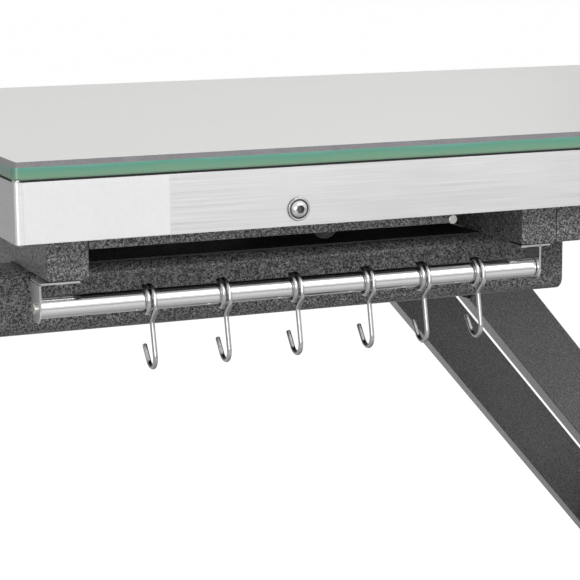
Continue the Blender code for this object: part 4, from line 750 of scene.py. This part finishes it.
def clevis(bm, x, axis_z, face_z, middle_y, grip, radius):
    """A plate with two ears, welded to a tube's face."""
    upward = 1 if face_z < axis_z else -1
    near = middle_y - grip / 2 - GAP - EAR_THICKNESS
    far = middle_y + grip / 2 + GAP
    levels = sorted((face_z - upward * TUBE_WALL / 2, face_z + upward * EAR_PLATE))
    soft_block(bm, (x - radius - EAR_PLATE_MARGIN, near, levels[0]),
               (x + radius + EAR_PLATE_MARGIN, far + EAR_THICKNESS, levels[1]), PLATE_EDGE)
    for start in (near, far):
        tip = axis_z + upward * radius
        span = sorted((face_z, tip))
        verts = block(bm, (x - radius, start, span[0]), (x + radius, start + EAR_THICKNESS, span[1]))
        nose = [edge for edge in edges_along(verts, Y_AXIS) if abs(edge.verts[0].co.z - tip) < GAP]
        round_edges(bm, nose, radius * 0.999, 14)


def make_rails():
    """Channels for the rollers, open to the middle of the table."""
    for body in ("top", "base"):
        for side, word in SIDES:
            name = f"{body}_rail_{word}"
            low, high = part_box(name)
            bm = bmesh.new()
            verts = block(bm, low, high)
            back = side * max(side * low.y, side * high.y)
            inner = [face for face in bm.faces if abs(face.calc_center_median().y - back) > 0.02
                     and abs(face.normal.y) > 0.9]
            ends = [face for face in bm.faces if abs(face.normal.x) > 0.9]
            folds = [edge for edge in edges_along(verts, X_AXIS) if abs(edge.verts[0].co.y - back) < GAP]
            bmesh.ops.delete(bm, geom=inner + ends, context="FACES")
            round_edges(bm, folds, RAIL_CORNER, 8)
            thicken(bm, RAIL_WALL)
            lips = [edge for edge in bm.edges if len(edge.link_faces) == 2
                    and edge.calc_face_angle(0) > radians(60)]
            round_edges(bm, lips, PLATE_EDGE, 2)
            painted(bm, name, body)


def make_edge_strips():
    """Angle strips beside the hooks, each with a painted dome whose part below the web carries painted shade,
    and a zinc bolt.
    """
    for side, word in SIDES:
        name = "edge_strip_" + word
        low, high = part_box(name)
        drop = high.z - STRIP_WEB
        outer = side * STRIP_FACE
        inner = outer - side * STRIP_WIDTH
        bm = bmesh.new()
        soft_block(bm, (low.x, min(inner, outer), high.z - STRIP_SHEET), (high.x, max(inner, outer), high.z),
                   STRIP_EDGE)
        web = sorted((outer, outer - side * STRIP_SHEET))
        soft_block(bm, (low.x, web[0], drop), (high.x, web[1], high.z - 0.0004), STRIP_EDGE)
        dome_x = low.x + DOME_SHARE * (high.x - low.x)
        dome_y = side * (STRIP_FACE - DOME_FROM_FACE)
        dome(bm, (dome_x, dome_y, high.z - STRIP_SHEET), DOME_RADIUS, DOME_HEIGHT)
        # The dome below the web gets the near-black coat: painted shade under the strip.
        painted(bm, name, "top", [POWDER_COAT, COVER_COAT],
                lambda item, level=drop: int(item.calc_center_median().z < level))
        bm = bmesh.new()
        disc(bm, (high.x - 0.0015, outer - side * 0.0002, high.z - 0.0060), side * Y_AXIS, STRIP_BOLT, 0.0028,
             0.0009, 28)
        add_piece(bm, f"edge_strip_{word}_bolt", "top", ZINC, (), 40)


def dome(bm, place, radius, height):
    profile = [(0, 0.001), (radius, 0.001), (radius, 0)]
    profile += [(radius * cos(radians(step * 11)), height * sin(radians(step * 11))) for step in range(1, 8)]
    profile.append((0, height))
    turned(bm, profile, place, -Z_AXIS, 32)


# Hook rail, brackets and hooks

def make_hook_rail():
    """A round bar with a screw hole in each end."""
    low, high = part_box("hook_rail")
    middle = (low + high) / 2
    length = high.x - low.x
    edge = 0.0006
    hole = 0.003
    profile = [(0, hole), (RAIL_HOLE, hole), (RAIL_HOLE, 0), *arc((HOOK_RAIL - edge, edge), edge, -90, 0, 3),
               *arc((HOOK_RAIL - edge, length - edge), edge, 0, 90, 3), (RAIL_HOLE, length),
               (RAIL_HOLE, length - hole), (0, length - hole)]
    turned_piece("hook_rail_bar", "hook_rail", "top", CHROME, profile, (low.x, middle.y, middle.z),
                 X_AXIS, 72)


def make_rail_brackets():
    rail_low, rail_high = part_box("hook_rail")
    left = rail_low.x - GAP - SHEET
    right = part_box("rail_bracket_right")[1].x
    start = right - RIGHT_FLANGE
    rail_bracket("left", -1, left, (left, left + LEFT_FLANGE), left + LEFT_FLANGE, LEFT_SCREW_X)
    rail_bracket("right", 1, rail_high.x + GAP, (start, right), start, start + RIGHT_SCREW_IN)


def rail_bracket(word, out, tab_x, flange, free_x, screw_x):
    """A thin angle: a flange under a tube and a round-ended tab turned down."""
    name = "rail_bracket_" + word
    low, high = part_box("hook_rail")
    axis_y = (low.y + high.y) / 2
    axis_z = (low.z + high.z) / 2
    near = axis_y - BRACKET_HALF
    far = axis_y + BRACKET_HALF
    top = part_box("cross_tube_middle")[0].z - GAP
    bm = bmesh.new()
    verts = block(bm, (flange[0], near, top - SHEET), (flange[1], far, top))
    corners = [edge for edge in edges_along(verts, Z_AXIS) if abs(edge.verts[0].co.x - free_x) < GAP]
    round_edges(bm, corners, 0.0015, 3)
    verts = block(bm, (tab_x, near, axis_z - TAB_REACH), (tab_x + SHEET, far, top - SHEET / 3))
    noses = [edge for edge in edges_along(verts, X_AXIS)
             if abs(edge.verts[0].co.z - axis_z + TAB_REACH) < GAP]
    round_edges(bm, noses, TAB_NOSE, 12)
    sharp = [edge for edge in bm.edges if edge.calc_face_angle(0) > radians(50)]
    round_edges(bm, sharp, 0.0002, 1)
    add_piece(bm, name + "_angle", "top", BRACKET_STEEL, [name], 30)
    bm = bmesh.new()
    pan_screw(bm, (screw_x, axis_y, top - SHEET), -Z_AXIS)
    pan_screw(bm, (tab_x if out < 0 else tab_x + SHEET, axis_y, axis_z), out * X_AXIS)
    add_piece(bm, name + "_screws", "top", ZINC, (), 30)


def pan_screw(bm, place, out):
    """A small pan head."""
    profile = [(0, -0.0006), (0.0040, -0.0006), (0.0040, 0.0009), *arc((0.0029, 0.0009), 0.0011, 15, 90, 4),
               (0, 0.0020)]
    turned(bm, profile, place, out, 32)


def hook_line():
    """The bent wire's middle line about the rail, before it hangs."""
    loop = HOOK_RAIL + WIRE + GAP
    points = []
    steps = 46
    for step in range(steps + 1):
        angle = HOOK_TAIL + (pi - HOOK_TAIL) * step / steps
        points.append(Vector((HOOK_PITCH * (angle - pi) / tau, loop * cos(angle), loop * sin(angle))))
    points.append(Vector((0, -loop, -HOOK_DROP / 2)))
    points.append(Vector((0, -loop, -HOOK_DROP)))
    under_rail = [(0.07, 0.15), (0.26, 0.34), (0.53, 0.55), (0.80, 0.76), (0.94, 0.90)]
    points += [Vector((0, across * (loop + SHANK_Y) - loop, down * (HOOK_DROP - SHANK_TOP) - HOOK_DROP))
               for across, down in under_rail]
    points.append(Vector((0, SHANK_Y, -SHANK_TOP)))
    bend = Vector((0, SHANK_Y + BEND_RADIUS, BEND_RADIUS + WIRE - HOOK_REACH))
    points += [Vector((0, SHANK_Y, -SHANK_TOP + (bend.z + SHANK_TOP) * share)) for share in (0.25, 0.5, 0.75)]
    for step in range(21):
        angle = pi + BEND_TURN * step / 20
        points.append(bend + BEND_RADIUS * Vector((0, cos(angle), sin(angle))))
    last = pi + BEND_TURN
    ahead = Vector((0, -sin(last), cos(last)))
    points += [points[-1] + length * ahead for length in (0.0062, 0.0119, 0.0125)]
    for point in points[steps + 1:]:
        point.x = (-point.z - HOOK_DROP) * tan(HOOK_SIDE_LEAN)
    return points


def make_hooks():
    low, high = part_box("hook_rail")
    middle = (low + high) / 2
    line = hook_line()
    lean = Matrix.Rotation(HOOK_LEAN, 3, "X")
    for number, share in enumerate(HOOK_SHARES, start=1):
        name = f"hook_{number}"
        place = Vector((low.x + share * (high.x - low.x), middle.y, middle.z))
        curve = bpy.data.curves.new(name + "_line", "CURVE")
        curve.dimensions = "3D"
        curve.bevel_depth = WIRE
        curve.bevel_resolution = 6
        curve.use_fill_caps = True
        spline = curve.splines.new("POLY")
        spline.points.add(len(line) - 1)
        for index, (point, spot) in enumerate(zip(spline.points, line)):
            point.co = (*(place + lean @ spot), 1)
            point.radius = WIRE_TIP if index in (0, len(line) - 1) else 1.0
        drawn = bpy.data.objects.new(name + "_line", curve)
        bpy.context.scene.collection.objects.link(drawn)
        bpy.context.view_layer.update()
        bm = bmesh.new()
        bm.from_mesh(drawn.to_mesh())
        drawn.to_mesh_clear()
        bpy.data.objects.remove(drawn)
        bmesh.ops.remove_doubles(bm, verts=bm.verts, dist=GAP / 100)
        bmesh.ops.recalc_face_normals(bm, faces=bm.faces)
        add_piece(bm, name + "_wire", f"hook_body_{number}", HOOK_STEEL, [name], 50)


# Scissor arms, shafts, bolts and rollers

def arm_tube(bm, matrix, half_length):
    """An arm's open-ended box tube along the matrix's X axis."""
    fresh = bmesh.new()
    block(fresh, (-half_length, -ARM_WIDTH / 2, -ARM_DEPTH / 2), (half_length, ARM_WIDTH / 2, ARM_DEPTH / 2))
    ends = [face for face in fresh.faces if abs(face.normal.x) > 0.9]
    bmesh.ops.delete(fresh, geom=ends, context="FACES_ONLY")
    round_edges(fresh, [item for item in fresh.edges if runs_along(item, X_AXIS)], ARM_EDGE, 5)
    thicken(fresh, ARM_WALL)
    bmesh.ops.transform(fresh, matrix=matrix, verts=fresh.verts)
    join(bm, fresh)


def make_arm(name, matrix, body):
    """A box tube with a lug in each end and bosses at its three pins."""
    half = ARM_LENGTH / 2 - ARM_TUBE_FROM_PIN
    bm = bmesh.new()
    arm_tube(bm, matrix, half)
    fresh = bmesh.new()
    inside = ARM_DEPTH / 2 - ARM_WALL + LUG_BITE
    for direction in (-1, 1):
        mouth = direction * half
        tip = direction * ARM_LENGTH / 2 + direction * LUG_RADIUS
        xs = sorted((mouth - direction * LUG_IN_TUBE, mouth))
        block(fresh, (xs[0], -LUG_THICKNESS / 2, -inside), (xs[1], LUG_THICKNESS / 2, inside))
        xs = sorted((mouth - direction * LUG_OVERLAP, tip))
        verts = block(fresh, (xs[0], -LUG_THICKNESS / 2, -inside), (xs[1], LUG_THICKNESS / 2, inside))
        for vert in verts:
            if abs(vert.co.x - tip) < GAP:
                vert.co.z *= LUG_RADIUS / inside
        nose = [edge for edge in edges_along(verts, Y_AXIS) if abs(edge.verts[0].co.x - tip) < GAP]
        round_edges(fresh, nose, LUG_RADIUS * 0.94, 12)
    for x, radius in ((-ARM_LENGTH / 2, END_BOSS), (0, CENTRE_BOSS), (ARM_LENGTH / 2, END_BOSS)):
        disc(fresh, (x, -ARM_WIDTH / 2, 0), Y_AXIS, radius, ARM_WIDTH, 0.0006)
    bmesh.ops.transform(fresh, matrix=matrix, verts=fresh.verts)
    join(bm, fresh)
    painted(bm, name, body, ARM_COAT)


def make_arms():
    half = ARM_LENGTH / 2
    low_a, high_a = (PIVOT_X, LOW_Z), (roller_x, high_z)
    low_b, high_b = (roller_x, LOW_Z), (PIVOT_X, high_z)
    for side, word in SIDES:
        make_arm("arm_a_" + word, matrix_along(low_a, high_a, side * (ARM_A_FACE + ARM_WIDTH / 2)), "arms_a")
        make_arm("arm_b_" + word, matrix_along(low_b, high_b, side * (ARM_B_FACE + ARM_WIDTH / 2)), "arms_b")
    for name, body, low, high, along, face in (
            ("arm_a_upper_tube", "arms_a", low_a, high_a, half - 0.430, ARM_A_FACE),
            ("arm_a_lower_tube", "arms_a", low_a, high_a, 0.360 - half, ARM_A_FACE),
            ("arm_b_lower_tube", "arms_b", low_b, high_b, 0.240 - half, ARM_B_FACE)):
        reach = face - GAP
        bm = bmesh.new()
        bar(bm, (along - TUBE / 2, -reach, -TUBE / 2), (along + TUBE / 2, reach, TUBE / 2), Y_AXIS, TUBE_EDGE,
            0.0005)
        bmesh.ops.transform(bm, matrix=matrix_along(low, high, 0), verts=bm.verts)
        painted(bm, name, body)


def hex_bolt(name, start, direction, radius, length, body):
    """A hexagon bolt seated at start, with washers and its nut at length."""
    bm = bmesh.new()
    out = Vector(direction)
    start = Vector(start)
    tip = length + NUT_THICKNESS + BOLT_TIP
    hexagon(bm, start - NUT_THICKNESS * out, out, NUT_FLATS, NUT_THICKNESS - WASHER)
    disc(bm, start - WASHER * out, out, NUT_FLATS / 2, WASHER, 0.0003)
    disc(bm, start + length * out, out, NUT_FLATS / 2, WASHER, 0.0003)
    hexagon(bm, start + (length + WASHER) * out, out, NUT_FLATS, NUT_THICKNESS - WASHER)
    profile = [(0, 0), (radius, 0), (radius, tip - PIN_CHAMFER), (radius - PIN_CHAMFER, tip), (0, tip)]
    turned(bm, profile, start, out, 32)
    add_piece(bm, name + "_set", body, ZINC, [name], 30)


def make_bolts():
    face = ARM_WIDTH / 2 + 2 * GAP + EAR_THICKNESS
    for name, body, z, middle in (("top_pivot_bolt", "top", high_z, ARM_B_FACE + ARM_WIDTH / 2),
                                  ("base_pivot_bolt", "base", LOW_Z, ARM_A_FACE + ARM_WIDTH / 2)):
        for side, word in SIDES:
            start = (PIVOT_X, side * (middle - face), z)
            hex_bolt(f"{name}_{word}", start, side * Y_AXIS, PIN, 2 * face, body)
    face = TAIL_GRIP / 2 + 2 * GAP + EAR_THICKNESS
    hex_bolt("actuator_tail_bolt", (TAIL_X, -face, LOW_Z), Y_AXIS, TAIL_PIN, 2 * face, "base")


def make_shafts():
    """The roller shafts with collars and clips, and the centre shaft with washers and nuts."""
    collar = 0.0125
    clip_radius = 0.0105
    for name, body, z in (("top_roller_shaft", "arms_a", high_z), ("bottom_roller_shaft", "arms_b", LOW_Z)):
        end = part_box(name)[1].y
        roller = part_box(name.replace("_shaft", "_rear"))
        seat = roller[0].y - GAP
        clip = roller[1].y + GAP
        half = [(PIN, 0), (PIN, seat - 0.005), (0.0119, seat - 0.005), (collar, seat - 0.0044),
                (collar, seat), (PIN, seat), (PIN, clip), (clip_radius, clip),
                (clip_radius, clip + 0.0012), (PIN, clip + 0.0012), (PIN, end - 0.0006),
                (PIN - 0.0006, end), (0, end)]
        profile = [(radius, -along) for radius, along in reversed(half[1:])] + half[1:]
        turned_piece(name + "_turned", name, body, BRIGHT_STEEL, profile, (roller_x, 0, z),
                     Y_AXIS, 40)
    bm = bmesh.new()
    nut_start = ARM_B_FACE + ARM_WIDTH + GAP
    tip = nut_start + NUT_THICKNESS + BOLT_TIP
    chamfered = CENTRE_PIN - PIN_CHAMFER
    profile = [(0, -tip), (chamfered, -tip), (CENTRE_PIN, PIN_CHAMFER - tip), (CENTRE_PIN, tip - PIN_CHAMFER),
               (chamfered, tip), (0, tip)]
    turned(bm, profile, centre, Y_AXIS, 40)
    for side, _ in SIDES:
        out = side * Y_AXIS
        hexagon(bm, centre + nut_start * out, out, NUT_FLATS, NUT_THICKNESS)
        disc(bm, centre + (ARM_A_FACE + ARM_WIDTH + GAP) * out, out, CENTRE_BOSS, 0.004 - 2 * GAP, 0.0005)
    add_piece(bm, "centre_shaft_turned", "arms_a", BRIGHT_STEEL, ["centre_shaft"], 30)


def make_rollers():
    """Wheels with a raised hub and a shallow groove in each face."""
    bore = PIN + GAP
    groove = 0.0155
    for place, z in (("top", high_z), ("bottom", LOW_Z)):
        for _, word in SIDES:
            name = f"{place}_roller_{word}"
            low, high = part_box(name)
            radius = (high.z - low.z) / 2
            half = (high.y - low.y) / 2
            face = half - 0.0015
            section = [(bore, half - 0.0004), (bore + 0.0004, half), (0.0126, half), (0.013, half - 0.0004),
                       (0.0134, face), (groove - 0.001, face), (groove, face - 0.0008),
                       (groove + 0.001, face), (radius - 0.0012, face), (radius - 0.0003, face - 0.0004),
                       (radius, face - 0.0012)]
            profile = section + [(reach, -along) for reach, along in reversed(section)]
            profile.append(profile[0])
            turned_piece(name + "_wheel", name, f"roller_{place}_{word}", NYLON, profile,
                         (roller_x, (low.y + high.y) / 2, z), Y_AXIS, 64)


# Base, actuator, control box and pedal

def make_base_tubes():
    for word in ("left", "middle", "right"):
        name = "base_tube_" + word
        low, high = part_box(name)
        middle = {"left": (low.x + high.x) / 2, "middle": MIDDLE_TUBE_X, "right": PIVOT_X}[word]
        top = low.z + TUBE
        bm = bmesh.new()
        bar(bm, (middle - BASE_TUBE_HALF, low.y, low.z), (middle + BASE_TUBE_HALF, high.y, top), Y_AXIS,
            TUBE_EDGE, TUBE_END_EDGE)
        if word == "right":
            for side, _ in SIDES:
                clevis(bm, PIVOT_X, LOW_Z, top, side * (ARM_A_FACE + ARM_WIDTH / 2), ARM_WIDTH, EAR_RADIUS)
            clevis(bm, TAIL_X, LOW_Z, top, 0, TAIL_GRIP, TAIL_EAR)
        if word == "middle":
            saddle(bm, middle, top)
        painted(bm, name, "base")


def saddle(bm, x, floor):
    """A stand whose bore holds the actuator."""
    top = LOW_Z + ACTUATOR_RADIUS + SADDLE_OVER
    bore = ACTUATOR_RADIUS + GAP
    fresh = bmesh.new()
    ring = bmesh.ops.create_circle(fresh, cap_ends=False, segments=40, radius=bore)["verts"]
    made = bmesh.ops.extrude_edge_only(fresh, edges=edges_of(ring))["geom"]
    for vert in [item for item in made if isinstance(item, bmesh.types.BMVert)]:
        reach_x = SADDLE_HALF / max(abs(vert.co.x) / bore, 0.001)
        limit = top - LOW_Z if vert.co.y > 0 else LOW_Z - floor
        reach_y = limit / max(abs(vert.co.y) / bore, 0.001)
        vert.co *= min(reach_x, reach_y) / bore
    fresh.normal_update()
    bmesh.ops.solidify(fresh, geom=fresh.faces, thickness=SADDLE_DEPTH)
    turn = Matrix(((0, 0, 1), (1, 0, 0), (0, 1, 0))).to_4x4()
    depth = [vert.co.z for vert in fresh.verts]
    shift = Matrix.Translation((0, 0, -(min(depth) + max(depth)) / 2))
    bmesh.ops.transform(fresh, matrix=Matrix.Translation((x, 0, LOW_Z)) @ turn @ shift, verts=fresh.verts)
    bmesh.ops.recalc_face_normals(fresh, faces=fresh.faces)
    join(bm, fresh)


def make_feet():
    for end in ("left", "right"):
        for _, word in SIDES:
            name = f"foot_{word}_{end}"
            low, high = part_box(name)
            middle = (low + high) / 2
            height = high.z - low.z
            radius = (high.x - low.x) / 2
            profile = [(0, 0), (0.006, 0), (0.0065, 0.0008), (0.012, 0.0008), (0.0125, 0),
                       *arc((radius - 0.002, 0.002), 0.002, -90, 10, 5),
                       *arc((0.0155, height - 0.001), 0.001, 10, 90, 4), (0, height)]
            turned_piece(name + "_pad", name, "base", RUBBER, profile,
                         (middle.x, middle.y, low.z), Z_AXIS, 56)


def make_actuator():
    low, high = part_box("actuator_tube")
    length = high.x - low.x
    gland = 0.0235
    profile = [(0, 0.030), (0.0096, 0.030), (0.0096, 0.0005), (0.0101, 0), (0.0165, 0), (0.0170, 0.0005),
               (0.0170, 0.0030), (gland - 0.001, 0.0030), (gland, 0.0040), (gland, 0.0090),
               (gland - 0.0008, 0.0096), (gland - 0.0008, 0.0116), (gland, 0.0122), (gland, 0.0210),
               (gland - 0.001, 0.0220), (ACTUATOR_RADIUS, 0.0220), (ACTUATOR_RADIUS, length), (0, length)]
    turned_piece("actuator_sleeve", "actuator_tube", "base", ALLOY, profile,
                 (low.x, 0, LOW_Z), X_AXIS, 64)

    low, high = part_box("actuator_motor")
    length = high.x - low.x
    radius = (high.z - low.z) / 2
    groove = radius - 0.0007
    profile = [(0, 0.0006), (0.0060, 0.0006), (0.0066, 0), (radius - 0.003, 0), (radius - 0.0008, 0.0012),
               (radius, 0.003), (radius, 0.018), (groove, 0.0184), (groove, 0.0196), (radius, 0.0200),
               (radius, length - 0.012), (groove, length - 0.0116), (groove, length - 0.0104),
               (radius, length - 0.0100), (radius, length), (0, length)]
    turned_piece("actuator_motor_can", "actuator_motor", "base", BLACK_PLASTIC, profile,
                 (low.x, (low.y + high.y) / 2, (low.z + high.z) / 2), X_AXIS, 64)
    softened_copy("actuator_gearbox_case", "actuator_gearbox", "base", BLACK_PLASTIC, 0.0006)
    softened_copy("pull_rod_bar", "pull_rod", "rod", CHROME, 0.0003)


def make_control_box():
    low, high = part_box("control_box")
    bm = bmesh.new()
    soft_block(bm, low, high, 0.004, 4)
    add_piece(bm, "control_box_case", "base", BLACK_PLASTIC, ["control_box"])
    softened_copy("mains_inlet_socket", "mains_inlet", "base", BLACK_PLASTIC, 0.0003)


def make_pedal():
    softened_copy("pedal_case", "pedal_housing", "base", PEDAL_PLASTIC, 0.0007)
    softened_copy("pedal_rocker", "foot_pedal", "pedal", PEDAL_PLASTIC, 0.0005)


# Studio

def studio_sheet(name, segments, half, material):
    """A flat square of the studio."""
    bm = bmesh.new()
    bmesh.ops.create_grid(bm, x_segments=segments, y_segments=segments, size=half)
    mesh = bpy.data.meshes.new(name)
    bm.to_mesh(mesh)
    bm.free()
    mesh.materials.append(material)
    made = bpy.data.objects.new(name, mesh)
    bpy.context.scene.collection.objects.link(made)
    return made


def path_mask(tree, share=1.0):
    """1 for rays from the camera, and a share of it for reflected and refracted ones."""
    path = node(tree, "ShaderNodeLightPath").outputs
    bounced = maths(tree, "MAXIMUM", path["Is Glossy Ray"], path["Is Transmission Ray"])
    return maths(tree, "MAXIMUM", path["Is Camera Ray"], maths(tree, "MULTIPLY", bounced, share))


def make_floor():
    """A pale floor that turns white away from the table and is clear from below."""
    material = bpy.data.materials.new("pale_floor")
    material.use_nodes = True
    tree = material.node_tree
    tree.nodes.clear()
    paint = node(tree, "ShaderNodeBsdfDiffuse", {"Color": grey(FLOOR_TONE)})
    place = node(tree, "ShaderNodeTexCoord").outputs["Object"]
    away = node(tree, "ShaderNodeVectorMath", {0: place}, operation="LENGTH").outputs["Value"]
    more = remap(tree, away, GLOW_FROM, GLOW_TO, GLOW_NEAR, GLOW_FAR, interpolation_type="SMOOTHSTEP")
    lift = maths(tree, "MULTIPLY", path_mask(tree, GLOW_IN_REFLECTIONS), more)
    glow = node(tree, "ShaderNodeEmission", {"Color": WHITE, "Strength": lift})
    both = node(tree, "ShaderNodeAddShader", {0: paint.outputs[0], 1: glow.outputs[0]})
    below = node(tree, "ShaderNodeNewGeometry").outputs["Backfacing"]
    clear = node(tree, "ShaderNodeBsdfTransparent")
    sided = node(tree, "ShaderNodeMixShader", {0: below, 1: both.outputs[0], 2: clear.outputs[0]})
    node(tree, "ShaderNodeOutputMaterial", {"Surface": sided.outputs[0]})
    floor = studio_sheet("studio_floor", 2, FLOOR_HALF, material)


def make_card():
    """A grey studio card behind the left end, for the light and reflections alone."""
    cloth = mottled("flag_cloth", grey(0.64), grey(0.70), (0.8, 0.9))
    card = studio_sheet("studio_flag", 1, 0.5, cloth)
    facing = (Vector(CARD_AIM) - Vector(CARD_PLACE)).to_track_quat("Z", "Y").to_matrix().to_4x4()
    card.matrix_world = Matrix.Translation(CARD_PLACE) @ facing @ Matrix.Diagonal((*CARD_SIZE, 1, 1))
    card.visible_camera = False


def make_world():
    world = bpy.data.worlds.new("studio")
    world.use_nodes = True
    bpy.context.scene.world = world
    tree = world.node_tree
    tree.nodes.clear()
    seen = node(tree, "ShaderNodeBackground", {"Color": WHITE, "Strength": 1.0})
    soft = node(tree, "ShaderNodeBackground", {"Color": WHITE, "Strength": AMBIENT})
    both = node(tree, "ShaderNodeMixShader", {0: path_mask(tree), 1: soft.outputs[0], 2: seen.outputs[0]})
    node(tree, "ShaderNodeOutputWorld", {"Surface": both.outputs[0]})


def area_lamp(name, place, aim, size, power):
    data = bpy.data.lights.new(name, "AREA")
    data.shape = "RECTANGLE"
    data.size, data.size_y = size
    data.energy = power
    lamp = bpy.data.objects.new(name, data)
    lamp.location = place
    lamp.rotation_euler = (Vector(aim) - Vector(place)).to_track_quat("-Z", "Y").to_euler()
    bpy.context.scene.collection.objects.link(lamp)


def make_camera():
    data = bpy.data.cameras.new("view")
    data.lens = CAMERA_LENS
    data.sensor_width = SENSOR
    data.sensor_fit = "HORIZONTAL"
    data.clip_start = 0.01
    data.clip_end = 200
    camera = bpy.data.objects.new("view", data)
    level = Vector((cos(CAMERA_YAW), -sin(CAMERA_YAW), 0))
    ahead = Vector((sin(CAMERA_YAW) * cos(CAMERA_PITCH), cos(CAMERA_YAW) * cos(CAMERA_PITCH),
                    -sin(CAMERA_PITCH)))
    upright = level.cross(ahead)
    right = level * cos(CAMERA_ROLL) + upright * sin(CAMERA_ROLL)
    up = upright * cos(CAMERA_ROLL) - level * sin(CAMERA_ROLL)
    camera.matrix_world = Matrix.Translation(CAMERA_PLACE) @ Matrix((right, up, -ahead)).transposed().to_4x4()
    bpy.context.scene.collection.objects.link(camera)
    bpy.context.scene.camera = camera


make_camera()
make_world()
make_floor()
make_card()
area_lamp("key_softbox", (0.9, -3.0, 2.7), (0, 0, 0.8), (2.4, 1.8), 52)
area_lamp("fill_softbox", (-1.5, -3.0, 1.1), (0, 0, 0.85), (2.2, 1.2), 19)
area_lamp("back_softbox", (0.4, 2.8, 2.6), (0, 0, 0.7), (2.6, 1.4), 20)
bpy.context.scene.view_settings.view_transform = "Standard"

make_glass()
make_frame()
make_plate()
make_top_tubes()
make_rails()
make_edge_strips()
make_hook_rail()
make_rail_brackets()
make_hooks()
make_arms()
make_bolts()
make_shafts()
make_rollers()
make_base_tubes()
make_feet()
make_actuator()
make_control_box()
make_pedal()
finish_node("glass_gasket", GASKET)
finish_node("support_board", BOARD)
